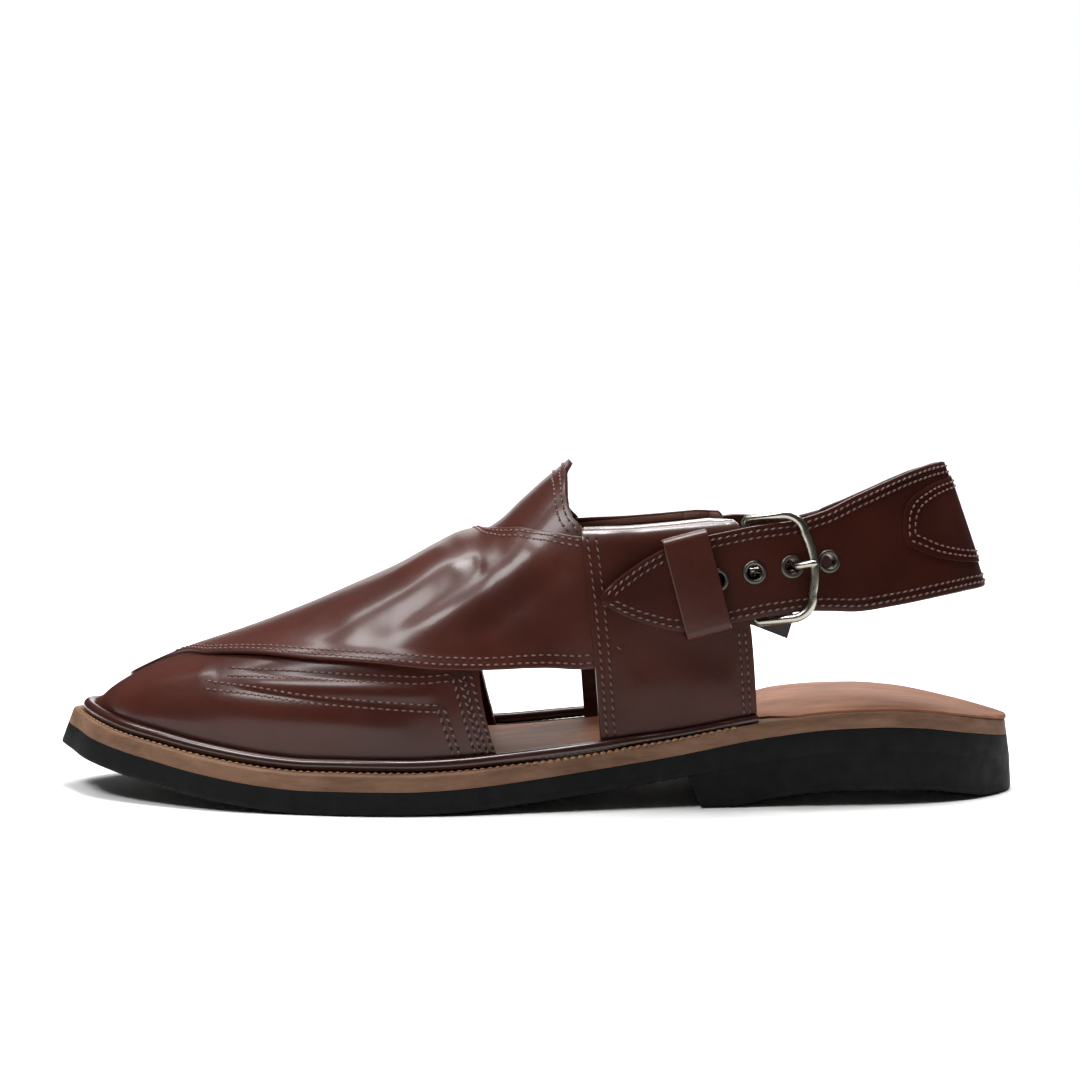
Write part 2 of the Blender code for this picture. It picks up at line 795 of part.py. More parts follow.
def make_upper():
    """Vamp, crossing band and quarters as one hollow wall, stepped where leathers lap."""
    color, gloss = (0.052, 0.013, 0.010), 0.30
    wall = shell("upper", vamp_grid(0.20, 0.0), vamp_grid(TOE_ANGLE, VAMP_WALL), capped=True)
    upper = new_object("upper", wall, color, gloss)
    window = window_profile(x_of(WINDOW_FRONT) - 0.0028, x_of(QUARTER_FRONT) + LAP, WINDOW_TOP + LAP)
    boolean(upper, prism("outer_window", window, -CUT_REACH, 0.0), "DIFFERENCE")
    front = x_of(WINDOW_FRONT) - 0.0016 - INNER_FORWARD
    window = window_profile(front, x_of(QUARTER_FRONT) + LAP - INNER_FORWARD, WINDOW_TOP)
    boolean(upper, prism("inner_window", window, 0.0, CUT_REACH), "DIFFERENCE")
    band = shell("band", band_grid(VAMP_WALL - BITE, 0.0003), band_grid(VAMP_WALL + BAND_WALL, 0.0003))
    boolean(upper, new_object("band", band, None, None, hidden=True), "UNION")
    for name, side in (("outer_quarter", -1), ("inner_quarter", 1)):
        quarter = shell(name, quarter_grid(side, False, 0.0005), quarter_grid(side, True, 0.0005))
        boolean(upper, new_object(name, quarter, None, None, hidden=True), "UNION")
    boolean(upper, prism("collar_cut", collar_profile(), -CUT_REACH, CUT_REACH), "DIFFERENCE")
    shade(upper)


def face_y(x, z, side, offset):
    """Where a leather at that offset from the last has its face, at x and z."""
    angle = last_angle(x)
    return wall_point(angle, turn_at(angle, z, side), offset).y


def rand_distance(share, side):
    """How far out from the last the bead's inner edge runs at its height."""
    front = VAMP_WALL if side < 0 else VAMP_WALL + BAND_WALL / 2
    rear = VAMP_WALL + QUARTER_WALL
    lap = SEAM_SWELL * ease((share - WINDOW_FRONT) / 0.08) * (1 - ease((share - QUARTER_FRONT) / 0.05))
    return front + (rear - front) * ease((share - WINDOW_FRONT) / 0.08) + lap + 0.0006


def make_rand():
    """Rolled leather bead on the midsole, from quarter to quarter round the toe."""
    last, first = last_angle(x_of(QUARTER_REAR)), 0.02
    count = 34
    path = []
    for side in (-1, 1):
        leg = []
        for i in range(count):
            angle = first + (last - first) * i / (count - 1)
            share = share_of(last_x(angle))
            radius = RAND_RADIUS + (RAND_REAR_RADIUS - RAND_RADIUS) * ease((share - 0.50) / 0.18)
            point = wall_point(angle, side, rand_distance(share, side) + GAP + radius)
            leg.append((Vector((point.x, point.y, bed(point.x) + radius)), radius))
        path += leg[::-1] if side < 0 else leg
    return wire("rand", path, (0.050, 0.014, 0.011), 0.25)


def wire(name, path, color, roughness, metallic=0.0, closed=False, resolution=2):
    """A round rod along (point, radius) pairs."""
    curve = bpy.data.curves.new(name, "CURVE")
    curve.dimensions = "3D"
    curve.bevel_depth = 1.0
    curve.bevel_resolution = resolution
    curve.use_fill_caps = not closed
    spline = curve.splines.new("POLY")
    spline.points.add(len(path) - 1)
    for knot, (point, radius) in zip(spline.points, path):
        knot.co = (*point, 1.0)
        knot.radius = radius
    spline.use_cyclic_u = closed
    rod = bpy.data.objects.new(name + "_path", curve)
    HELPERS.objects.link(rod)
    mesh = bpy.data.meshes.new_from_object(rod.evaluated_get(bpy.context.evaluated_depsgraph_get()))
    bpy.data.objects.remove(rod, do_unlink=True)
    work = bmesh.new()
    work.from_mesh(mesh)
    bmesh.ops.remove_doubles(work, verts=work.verts, dist=0.00001)
    bmesh.ops.recalc_face_normals(work, faces=work.faces)
    work.to_mesh(mesh)
    work.free()
    made = new_object(name, mesh, color, roughness, metallic)
    shade(made)
    return made


def strap_rows():
    """The strap's middle line from its tip round the heel: x, y, z, lean, width."""
    rear, rows = x_of(QUARTER_REAR), []
    half = STRAP_THICKNESS / 2
    leather = VAMP_WALL + QUARTER_WALL
    lean = STRAP_FREE[0][3]
    for share, width, height in STRAP_POINT:
        x, z = x_of(STRAP_TIP) + share * STRAP_TIP_LENGTH, height * INSTEP_HEIGHT
        lift = GAP + 0.0003 + (STRAP_CLEARANCE - GAP - 0.0003) * ease(share)
        y = face_y(x, z, -1, quarter_offset(x)) - lift - half
        rows.append((x, y, z, lean, width * STRAP_WIDTH))
    point_end = x_of(STRAP_TIP) + STRAP_TIP_LENGTH
    for share, height in STRAP_HELD:
        x, z = point_end + share * (rear - point_end), height * INSTEP_HEIGHT
        rows.append((x, face_y(x, z, -1, leather) - STRAP_CLEARANCE - half, z, lean, STRAP_WIDTH))
    height = STRAP_FREE[0][2] * INSTEP_HEIGHT
    for side in (-1, 1):
        lift = STRAP_CLEARANCE if side < 0 else GAP + 0.0003
        out = abs(face_y(rear, height, side, leather)) + lift + half
        leg = []
        for share, reach, high, tilt, broad in STRAP_FREE:
            x = rear + share * (x_of(STRAP_BACK) - rear)
            width = STRAP_WIDTH + broad * (STRAP_BACK_WIDTH - STRAP_WIDTH)
            drop = STRAP_INNER_DROP * math.sin(math.pi * share) if side > 0 else 0
            leg.append((x, side * reach * out, high * INSTEP_HEIGHT - drop, tilt, width))
        rows += leg if side < 0 else leg[-2::-1]
    for share, height in STRAP_SEWN_LINE:
        x, z = x_of(STRAP_SEWN) + share * (rear - x_of(STRAP_SEWN)), height * INSTEP_HEIGHT
        rows.append((x, face_y(x, z, 1, leather) + GAP + 0.0003 + half, z, lean, STRAP_WIDTH))
    return rows


def path_of(rows):
    """The rows as a smooth function of distance along the path, and the distance of each."""
    run = [0.0]
    for p, q in zip(rows, rows[1:]):
        run.append(run[-1] + math.dist(p[:3], q[:3]))
    lines = [smooth(run, [row[i] for row in rows]) for i in range(len(rows[0]))]
    return (lambda at: [line(at) for line in lines]), run


def strap_frame(at):
    """Place and directions of the strap at a distance along it: middle, along, up, out, width."""
    x, y, z, lean, width = STRAP_AT(at)
    before, after = STRAP_AT(at - 0.0008), STRAP_AT(at + 0.0008)
    along_it = Vector([b - a for a, b in zip(before[:3], after[:3])]).normalized()
    flat = Vector((along_it.x, along_it.y, 0)).normalized()
    out = Vector((flat.y, -flat.x, 0))
    lean = math.radians(lean)
    up = (UP * math.cos(lean) - out * math.sin(lean)).normalized()
    up = (up - along_it * up.dot(along_it)).normalized()
    return Vector((x, y, z)), along_it, up, along_it.cross(up).normalized(), width


def strap_run(x):
    """Distance along the strap at which it reaches x, on the outer side."""
    low, high = 0.0, STRAP_BACK_RUN
    for _ in range(40):
        middle = (low + high) / 2
        low, high = (middle, high) if STRAP_AT(middle)[0] < x else (low, middle)
    return low


def make_heel_strap():
    """Sling strap, from its point through keeper and buckle round the heel to the inner quarter."""
    marks = [STRAP_RUN[0] + 0.0001, 0.0008, 0.0018, 0.0034, 0.0056, 0.0084, 0.0120, 0.0165, 0.0215]
    rest = STRAP_RUN[-1] - marks[-1]
    marks += [marks[-1] + rest * i / 84 for i in range(1, 85)]
    rings = []
    for at in marks:
        middle, _, up, out, width = strap_frame(at)
        half = STRAP_THICKNESS / 2
        ring = []
        for side in (-half, half):
            steps = [-0.5, -0.25, 0.0, 0.25, 0.5] if side < 0 else [0.5, 0.25, 0.0, -0.25, -0.5]
            ring += [middle + up * width * step + out * side for step in steps]
        rings.append(ring)
    strap = new_object("heel_strap", loft("heel_strap", rings), (0.040, 0.011, 0.009), 0.32)
    for i in range(EYELET_COUNT):
        boolean(strap, eyelet_cutter(i), "DIFFERENCE")
    shade(strap)


def hole_x(index):
    """Where a hole lies: the third one is the prong's, behind the buckle's bar."""
    return x_of(BAR) + PRONG_HOLE + (index - 2) * EYELET_SPACING


def eyelet_place(index):
    """Matrix that puts z along the strap's outward direction at a hole."""
    middle, along_it, up, out, _ = strap_frame(strap_run(hole_x(index)))
    return Matrix.Translation(middle) @ Matrix((along_it, up, out)).transposed().to_4x4()


def turned(profile, place, count=16):
    """Points of a ring-shaped solid turned from a closed (radius, height) profile."""
    rings = []
    for i in range(count):
        spin = 2 * math.pi * i / count
        rings.append([place @ Vector((r * math.cos(spin), r * math.sin(spin), h)) for r, h in profile])
    return rings


def eyelet_cutter(index):
    """A short rod through the strap."""
    radius = EYELET_BORE_RADIUS + EYELET_SHEET + GAP / 2
    place = eyelet_place(index)
    rings = []
    for height in (-0.004, 0.004):
        spins = [2 * math.pi * i / 16 for i in range(16)]
        rings.append([place @ Vector((radius * math.cos(t), radius * math.sin(t), height)) for t in spins])
    name = f"eyelet_hole_{index + 1}"
    return new_object(name, loft(name, rings), None, None, hidden=True)


def make_eyelets():
    """Blackened metal eyelets that line the strap's holes, rolled over on both faces."""
    bore, wide = EYELET_BORE_RADIUS, EYELET_FLANGE_RADIUS
    tube = bore + EYELET_SHEET
    face = STRAP_THICKNESS / 2 + GAP * 0.8
    top = face + EYELET_SHEET
    profile = [(bore, -top + 0.0001), (bore + 0.0003, -top - 0.0001), (wide - 0.0004, -top), (wide, -face)]
    profile += [(tube, -face), (tube, face), (wide, face), (wide - 0.0004, top)]
    profile += [(bore + 0.0003, top + 0.0001), (bore, top - 0.0001)]
    for i in range(EYELET_COUNT):
        name = f"eyelet_{i + 1}"
        ring = loft(name, turned(profile, eyelet_place(i)), looped=True)
        shade(new_object(name, ring, (0.050, 0.045, 0.040), 0.38, 0.9))


def make_heel_patch():
    """Leaf-shaped leather patch sewn on the strap at the back of the heel."""
    reaches = [row[0] for row in PATCH_OUTLINE]
    top_at = smooth(reaches, [row[1] for row in PATCH_OUTLINE])
    bottom_at = smooth(reaches, [row[2] for row in PATCH_OUTLINE])
    sheets = []
    low = STRAP_THICKNESS / 2 + 1.4 * GAP
    for lift in (low, low + HEEL_PATCH_THICKNESS):
        grid = []
        for i in range(37):
            reach = reaches[-1] * math.sin(math.pi * (i / 36 - 0.5))
            top, bottom = top_at(abs(reach)), bottom_at(abs(reach))
            middle, _, up, out, width = strap_frame(STRAP_BACK_RUN + reach * STRAP_BACK_WIDTH)
            drops = [top + (bottom - top) * j / 6 for j in range(7)]
            grid.append([middle + up * width * (0.5 - drop) + out * lift for drop in drops])
        sheets.append(grid)
    shade(new_object("heel_patch", shell("heel_patch", *sheets), (0.045, 0.012, 0.010), 0.30))


def make_keeper():
    """Plain leather loop round the strap, in front of the buckle."""
    at = strap_run(x_of(KEEPER))
    middle, along_it, up, out, width = strap_frame(at)
    half_w, half_t = width / 2 + 2 * GAP, STRAP_THICKNESS / 2 + EYELET_SHEET + 2 * GAP
    corner = 0.0008
    inside = [(-half_w, -half_t + corner), (-half_w + corner, -half_t), (half_w - corner, -half_t)]
    inside += [(half_w, -half_t + corner), (half_w, half_t - corner), (half_w - corner, half_t)]
    inside += [(-half_w + corner, half_t), (-half_w, half_t - corner)]
    rings = []
    for high, deep in inside:
        wall_up = math.copysign(KEEPER_THICKNESS, high)
        wall_out = math.copysign(KEEPER_THICKNESS, deep)
        far = (high + wall_up, deep + wall_out)
        ring = []
        for (h, d), sides in (((high, deep), (-0.5, 0.5)), (far, (0.5, -0.5))):
            ring += [middle + up * h + out * d + along_it * KEEPER_WIDTH * side for side in sides]
        rings.append(ring)
    shade(new_object("keeper_loop", loft("keeper_loop", rings, looped=True), (0.060, 0.017, 0.014), 0.33))


def buckle_axes():
    """Place and directions of the buckle: bar, towards its far side, up, out."""
    height = STRAP_AT(strap_run(x_of(BAR)))[2]
    leather = (VAMP_WALL + QUARTER_WALL) / 2
    bar = Vector((x_of(BAR), face_y(x_of(BAR), height, -1, leather), height))
    reach = FRAME_LENGTH - 2 * FRAME_WIRE_RADIUS
    far, _, far_up, far_out, _ = strap_frame(strap_run(x_of(BAR) + reach - 0.0004))
    far = far + far_out * (STRAP_THICKNESS / 2 + FRAME_WIRE_RADIUS + FRAME_LIFT)
    towards = (far - bar).normalized()
    up = (far_up - towards * far_up.dot(towards)).normalized()
    return bar, towards, up, towards.cross(up).normalized()


def make_buckle():
    """Frame with a bowed far side, and a prong that comes up through a hole onto it."""
    metal = ((0.48, 0.43, 0.34), 0.30, 1.0)
    bar, towards, up, out = buckle_axes()
    reach = FRAME_LENGTH - 2 * FRAME_WIRE_RADIUS
    half = FRAME_HEIGHT / 2 - FRAME_WIRE_RADIUS
    side = [(0.0, 0.0), (0.0, half - 0.0012), (0.0004, half - 0.0004), (0.0012, half)]
    turn_x, turn_z = reach - FRAME_BOW - FRAME_CORNER, half - FRAME_CORNER
    for i in range(7):
        bend = math.pi / 2 * (1 - i / 6)
        across = turn_x + FRAME_CORNER * math.cos(bend)
        side.append((across, turn_z + FRAME_CORNER * math.sin(bend)))
    for high in (0.66, 0.33):
        side.append((reach - FRAME_BOW * high**2, turn_z * high))
    side.append((reach, 0.0))
    loop = side[1:] + [(a, -b) for a, b in side[-2:0:-1]]
    points = []
    for ahead, high in [(0.0, 0.0)] + loop:
        lift = FRAME_ARCH * math.sin(math.pi * ahead / reach)
        points.append((bar + towards * ahead + up * high + out * lift, FRAME_WIRE_RADIUS))
    wire("buckle_frame", points, *metal, closed=True, resolution=3)
    make_prong(bar, towards, out, metal)


def make_prong(bar, towards, out, metal):
    """The prong: hooked round the bar, under the strap, up through the third hole."""
    ring = FRAME_WIRE_RADIUS + GAP + PRONG_RADIUS
    path = []
    for i in range(9):
        turn = math.radians(-110 + 200 * i / 8)
        path.append(bar + towards * ring * math.cos(turn) + out * ring * math.sin(turn))
    hole, along_it, _, strap_out, _ = strap_frame(strap_run(hole_x(2)))
    below = STRAP_THICKNESS / 2 + EYELET_SHEET + 2 * GAP + PRONG_RADIUS
    path.append(hole - along_it * 0.0030 - strap_out * below)
    path.append(hole - along_it * 0.0013 - strap_out * (below - 0.0003))
    path.append(hole + along_it * 0.0005 + strap_out * 0.0008)
    path.append(hole + along_it * 0.0013 + strap_out * (below + 0.0001))
    reach = FRAME_LENGTH - 2 * FRAME_WIRE_RADIUS
    rest = FRAME_WIRE_RADIUS + PRONG_RADIUS + GAP / 2
    path.append(bar + towards * (reach - 0.0010) + out * rest)
    path.append(bar + towards * (reach + 0.0012) + out * (rest - 0.0001))
    wire("buckle_prong", [(point, PRONG_RADIUS) for point in path], *metal)


def make_chape():
    """Folded leather tab that holds the bar to the quarter's rear edge, slotted for the prong."""
    bar, _, up, _ = buckle_axes()
    quarter = (VAMP_WALL + QUARTER_WALL) / 2
    inner = quarter + GAP
    profile = []
    for radius in (inner, inner + CHAPE_THICKNESS):
        bends = [math.pi / 2 - math.pi * i / 8 for i in range(9)]
        arc = [(radius * math.cos(turn), radius * math.sin(turn)) for turn in bends]
        tails = [(-CHAPE_LENGTH, radius), (-radius, radius)]
        profile.append(tails + arc + [(a, -r) for a, r in tails[::-1]])
    sections = []
    for i in range(5):
        middle = bar + up * CHAPE_WIDTH * (i / 4 - 0.5)
        ring = []
        for ahead, depth in profile[0] + profile[1][::-1]:
            y = face_y(middle.x + min(ahead, 0.0), middle.z, -1, quarter)
            if ahead >= 0:
                y = (y + middle.y) / 2
            ring.append(Vector((middle.x + ahead, y - depth, middle.z)))
        sections.append(ring)
    tab = new_object("buckle_chape", loft("buckle_chape", sections), (0.030, 0.010, 0.009), 0.55)
    high = CHAPE_SLOT / 2
    front, rear = bar.x - CHAPE_LENGTH / 2, bar.x + CHAPE_LENGTH
    slot = [(front, bar.z - high), (rear, bar.z - high), (rear, bar.z + high), (front, bar.z + high)]
    boolean(tab, prism("prong_slot", slot, -CUT_REACH, 0), "DIFFERENCE")
    shade(tab)


def make_guard():
    """Leather tab behind the buckle that keeps it off the foot."""
    bar, _, _, _ = buckle_axes()
    rings = []
    inside = (VAMP_WALL + QUARTER_WALL) / 2 + CHAPE_THICKNESS + 4 * GAP
    for lift in (inside, inside + GUARD_THICKNESS):
        ring = []
        for reach, high in GUARD_OUTLINE:
            x = bar.x + reach * FRAME_LENGTH
            z = bar.z + high * FRAME_HEIGHT
            ring.append(Vector((x, bar.y + lift, z)))
        rings.append(ring)
    shade(new_object("buckle_guard", loft("buckle_guard", rings), (0.018, 0.008, 0.007), 0.50))


def main():
    make_outsole()
    make_midsole()
    make_heel()
    make_insole()
    make_rand()
    make_upper()
    make_heel_strap()
    make_eyelets()
    make_heel_patch()
    make_keeper()
    make_buckle()
    make_chape()
    make_guard()


for leftover in list(bpy.data.objects):
    bpy.data.objects.remove(leftover, do_unlink=True)
SHOE = bpy.data.collections.new("peshawari_chappal")
HELPERS = bpy.data.collections.new("cutters")
bpy.context.scene.collection.children.link(SHOE)
bpy.context.scene.collection.children.link(HELPERS)
STRAP_AT, STRAP_RUN = path_of(strap_rows())
STRAP_BACK_RUN = STRAP_RUN[len(STRAP_POINT) + len(STRAP_HELD) + len(STRAP_FREE) - 1]
main()
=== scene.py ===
"""Dressed model of a left peshawari chappal in polished oxblood leather.

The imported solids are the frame. Leathers, soles, buckle and thread are modelled again here at
full fineness, on the same last and from the same named sizes, in metres.
"""

import math

import bmesh
import bpy
import numpy as np
from mathutils import Matrix, Vector


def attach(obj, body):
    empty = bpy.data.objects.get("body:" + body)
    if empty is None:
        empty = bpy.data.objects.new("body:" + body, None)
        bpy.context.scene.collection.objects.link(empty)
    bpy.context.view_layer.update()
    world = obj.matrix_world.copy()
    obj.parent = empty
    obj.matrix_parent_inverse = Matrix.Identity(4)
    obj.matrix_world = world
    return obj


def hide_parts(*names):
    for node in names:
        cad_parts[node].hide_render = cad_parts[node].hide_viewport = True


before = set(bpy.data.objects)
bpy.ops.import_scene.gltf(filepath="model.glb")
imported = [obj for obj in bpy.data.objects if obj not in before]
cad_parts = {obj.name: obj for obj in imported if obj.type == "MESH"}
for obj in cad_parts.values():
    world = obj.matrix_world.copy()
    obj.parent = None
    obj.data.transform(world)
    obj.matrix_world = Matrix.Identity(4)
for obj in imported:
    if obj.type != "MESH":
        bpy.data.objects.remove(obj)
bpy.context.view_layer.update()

MM = 0.001
SHARP = math.radians(50)

# The sole
SOLE_LENGTH = 0.292
BALL_WIDTH = 0.100
HEEL_WIDTH = 0.066
TOE_SPRING = 0.0128
SEAT_RISE = 0.0160
OUTSOLE_THICKNESS = 0.0065
MIDSOLE_THICKNESS = 0.0046
INSOLE_THICKNESS = 0.0012
HEEL_BREAST = 0.653
HEEL_BREAST_SLANT = 0.0038
HEEL_ARCH = 0.0042
TOE_LEAN = 0.36
TOE_REACH = 0.0015
SIDE_LEAN = 0.06
BACK_LEAN = 0.14
INSOLE_SEAT_INSET = 0.0012
INSOLE_FIT = 0.0007
INSOLE_DISH = 0.0004
HEEL_ROUND = 0.0012
HEEL_FLARE = 0.0012
HEEL_FACE_EASE = 0.00025
END_SWEEP = 0.015

# The upper
INSTEP_HEIGHT = 0.0990
LAST_TOE_INSET = 0.0105
BULGE = 0.0010
BULGE_HEIGHT = 0.0090
VAMP_WALL = 0.0020
BAND_WALL = 0.0014
QUARTER_WALL = 0.0012
SEAM_SWELL = 0.0014
BAND_LIFT = 0.0007
BURNISH_DEPTH = 0.0045
BURNISH_RISE = 0.003
SKIVE = 0.5
QUARTER_FRONT = 0.554
QUARTER_REAR = 0.722
COLLAR_HEIGHT = 0.0820
WINDOW_TOP = 0.0418
WINDOW_FRONT = 0.454
INNER_FORWARD = 0.0035
RAND_RADIUS = 0.0018
RAND_REAR_RADIUS = 0.0011
LOW_SHARE = 0.16

# The heel strap and the buckle
STRAP_WIDTH = 0.0265
STRAP_BACK_WIDTH = 0.0400
STRAP_THICKNESS = 0.0024
STRAP_BACK = 0.9465
STRAP_TIP = 0.5647
STRAP_TIP_LENGTH = 0.0260
STRAP_SEWN = 0.6267
STRAP_INNER_DROP = 0.0044
STRAP_CLEARANCE = 0.0028
STRAP_EDGE = 0.0006
STRAP_CROWN = 0.00018
PRONG_HOLE = 0.0111
EYELET_SPACING = 0.0109
EYELET_COUNT = 4
EYELET_FLANGE_RADIUS = 0.0035
EYELET_BORE_RADIUS = 0.0021
EYELET_SHEET = 0.0004
EYELET_ROLL = 0.0007
HEEL_PATCH_THICKNESS = 0.0009
BAR = 0.7164
FRAME_LENGTH = 0.0215
FRAME_HEIGHT = 0.0328
FRAME_WIRE_RADIUS = 0.0013
FRAME_CORNER = 0.0062
FRAME_BOW = 0.0015
FRAME_LIFT = 0.0025
FRAME_ARCH = 0.0014
PRONG_RADIUS = 0.00105
KEEPER = 0.6596
KEEPER_WIDTH = 0.0134
KEEPER_THICKNESS = 0.0012
KEEPER_CORNER = 0.0013
KEEPER_BOW = 0.0004
GAP = 0.0003

# Thread
STITCH_PITCH = 0.00225
STITCH_RADIUS = 0.00030
PROUD = 0.00005
ROW_SPACING = 0.0019
BAND_ROW = 0.0014
TONGUE_ROW = 0.0012
FRONT_ROW = 0.0017
FRONT_ROW_SPACING = 0.0024
REAR_ROW = 0.0020
STRAP_ROW = 0.0016
STRAP_END_ROW = 0.0022
PATCH_ROW = 0.0016
PATCH_ROW_SPACING = 0.0017
LEDGE_ROW = 0.0007
LEDGE_PITCH = 0.0022
LEDGE_RADIUS = 0.00040
DOWN_RADIUS = 0.00038
DOWN_SLANT = 0.7
FRONT_SLANT = 0.35
STRAP_SLANT = 0.25

# Plan of the sole: share of its length, outer and inner edge as shares of the ball's width.
FORE_PLAN = (
    (0.000, -0.060, 0.060),
    (0.017, 0.050, 0.165),
    (0.039, 0.155, 0.235),
    (0.080, 0.255, 0.310),
    (0.118, 0.320, 0.360),
    (0.154, 0.372, 0.402),
    (0.207, 0.430, 0.455),
    (0.269, 0.470, 0.489),
    (0.335, 0.497, 0.500),
    (0.365, 0.500, 0.493),
    (0.409, 0.493, 0.460),
    (0.459, 0.470, 0.415),
    (0.503, 0.443, 0.378),
    (0.572, 0.405, 0.338),
    (0.640, 0.374, 0.318),
)
# The same behind the waist, as shares of the heel's width.
HEEL_PLAN = (
    (0.706, 0.533, 0.476),
    (0.774, 0.512, 0.485),
    (0.842, 0.488, 0.482),
    (0.894, 0.440, 0.440),
    (0.935, 0.362, 0.364),
    (0.969, 0.248, 0.250),
    (0.990, 0.140, 0.140),
    (1.000, 0.000, 0.000),
)
# Underside of the outsole as shares of the toe spring, and behind the ball of the seat's rise.
TOE_LINE = (
    (0.000, 1.000),
    (0.039, 0.810),
    (0.080, 0.610),
    (0.118, 0.455),
    (0.154, 0.300),
    (0.207, 0.125),
    (0.240, 0.045),
    (0.274, 0.000),
    (0.372, 0.000),
)
SEAT_LINE = (
    (0.409, 0.024),
    (0.459, 0.095),
    (0.503, 0.185),
    (0.572, 0.350),
    (0.640, 0.530),
    (0.664, 0.610),
    (0.738, 0.850),
    (0.811, 0.985),
    (0.850, 1.000),
    (0.887, 0.965),
    (0.945, 0.800),
    (1.000, 0.600),
)
# Tread of the heel as shares of its arch.
HEEL_TREAD = (
    (0.600, 0.00),
    (0.696, 0.00),
    (0.740, 0.55),
    (0.811, 1.00),
    (0.887, 0.92),
    (0.940, 0.35),
    (0.964, 0.00),
    (1.000, 0.00),
)
# The last: share of the length, width as a share of the sole's, ridge height as a share of
# the instep height, squareness of the section.
LAST = (
    (0.043, 0.800, 0.262, 2.00),
    (0.060, 0.800, 0.300, 2.00),
    (0.085, 0.800, 0.342, 2.00),
    (0.125, 0.800, 0.392, 2.05),
    (0.187, 0.800, 0.450, 2.10),
    (0.256, 0.800, 0.526, 2.15),
    (0.316, 0.800, 0.602, 2.20),
    (0.357, 0.798, 0.656, 2.20),
    (0.404, 0.790, 0.732, 2.25),
    (0.425, 0.786, 0.762, 2.25),
    (0.445, 0.782, 0.776, 2.28),
    (0.466, 0.777, 0.812, 2.30),
    (0.490, 0.772, 0.878, 2.32),
    (0.514, 0.768, 0.942, 2.38),
    (0.538, 0.765, 1.000, 2.45),
    (0.568, 0.765, 1.080, 2.65),
    (0.616, 0.770, 1.190, 2.95),
    (0.722, 0.795, 1.290, 3.20),
    (1.000, 0.820, 1.300, 3.20),
)
# How far the last's ridge stands inwards: share of the length, share of the ball's width.
RIDGE = ((0.000, 0.060), (0.150, 0.045), (0.330, 0.040), (0.450, 0.022), (0.600, 0.005), (1.000, 0.000))
# Edges of the crossing band on the outer side, heights as shares of the instep height.
BAND_LOWER = (
    (0.107, 0.412),
    (0.163, 0.420),
    (0.221, 0.432),
    (0.290, 0.432),
    (0.359, 0.428),
    (0.408, 0.421),
    (0.450, 0.422),
    (0.554, 0.426),
    (0.580, 0.428),
)
BAND_UPPER = ((0.499, 0.812), (0.543, 0.802), (0.580, 0.798))
BAND_TOE_CROSSING = 0.077
BAND_INSTEP_CROSSING = 0.447
# Tongue's free edge from the side: offset from the peak as a share of the quarter's length,
# height as a share of the way from the collar to the peak.
TONGUE_EDGE = ((0.000, 1.00), (-0.010, 0.90), (-0.052, 0.70), (-0.048, 0.42), (-0.022, 0.14), (0.030, 0.00))
TONGUE_PEAK = 0.540
# Heel strap from the quarter's rear edge to the back of the heel: share of that way, distance
# out as a share of the first, height as a share of the instep height, lean in degrees, share
# of the way from the narrow to the broad width.
STRAP_FREE = (
    (0.000, 1.000, 0.699, 4.0, 0.00),
    (0.150, 0.948, 0.711, 6.0, 0.00),
    (0.300, 0.885, 0.723, 8.0, 0.18),
    (0.410, 0.822, 0.733, 10.0, 0.40),
    (0.560, 0.714, 0.758, 13.0, 0.62),
    (0.710, 0.572, 0.784, 16.0, 0.80),
    (0.830, 0.430, 0.803, 18.0, 0.92),
    (0.920, 0.282, 0.814, 18.7, 0.98),
    (0.978, 0.163, 0.818, 19.0, 1.00),
    (1.000, 0.000, 0.818, 19.0, 1.00),
)
# Middle of the strap where quarters lie under it: share of the way to their rear edge, height.
STRAP_HELD = ((0.26, 0.669), (0.56, 0.681), (0.81, 0.691))
STRAP_SEWN_LINE = ((0.68, 0.683), (0.36, 0.668), (0.00, 0.650))
# The strap's pointed end: share of its length, share of the width, height of its middle.
STRAP_POINT = (
    (0.00, 0.05, 0.613),
    (0.06, 0.18, 0.618),
    (0.13, 0.29, 0.622),
    (0.26, 0.46, 0.626),
    (0.42, 0.63, 0.631),
    (0.60, 0.79, 0.638),
    (0.78, 0.92, 0.645),
    (1.00, 1.00, 0.656),
)
# Half of the leaf patch: reach from the back, upper and lower edge, as shares of the strap's
# width there.
PATCH_OUTLINE = (
    (0.00, 0.120, 0.820),
    (0.27, 0.140, 0.790),
    (0.48, 0.165, 0.740),
    (0.62, 0.200, 0.680),
    (0.70, 0.250, 0.625),
    (0.76, 0.330, 0.585),
    (0.80, 0.430, 0.560),
    (0.82, 0.500, 0.535),
)


# Lines and surfaces


def smooth(keys, values):
    """A curve through rows that never overshoots them; it takes a number or an array."""
    keys, values = np.array(keys, float), np.array(values, float)
    step = np.diff(keys)
    rise = np.diff(values) / step
    tilt = np.zeros(len(keys))
    tilt[0], tilt[-1] = rise[0], rise[-1]
    for i in range(1, len(keys) - 1):
        if rise[i - 1] * rise[i] > 0:
            before, after = 2 * step[i] + step[i - 1], step[i] + 2 * step[i - 1]
            tilt[i] = (before + after) / (before / rise[i - 1] + after / rise[i])

    def at(key):
        key = np.clip(key, keys[0], keys[-1])
        i = np.clip(np.searchsorted(keys, key, side="right") - 1, 0, len(keys) - 2)
        t = (key - keys[i]) / step[i]
        return (
            values[i] * (1 + 2 * t) * (1 - t) ** 2
            + tilt[i] * step[i] * t * (1 - t) ** 2
            + values[i + 1] * t * t * (3 - 2 * t)
            + tilt[i + 1] * step[i] * t * t * (t - 1)
        )

    return at


def ease(t):
    t = np.clip(t, 0.0, 1.0)
    return t * t * (3 - 2 * t)


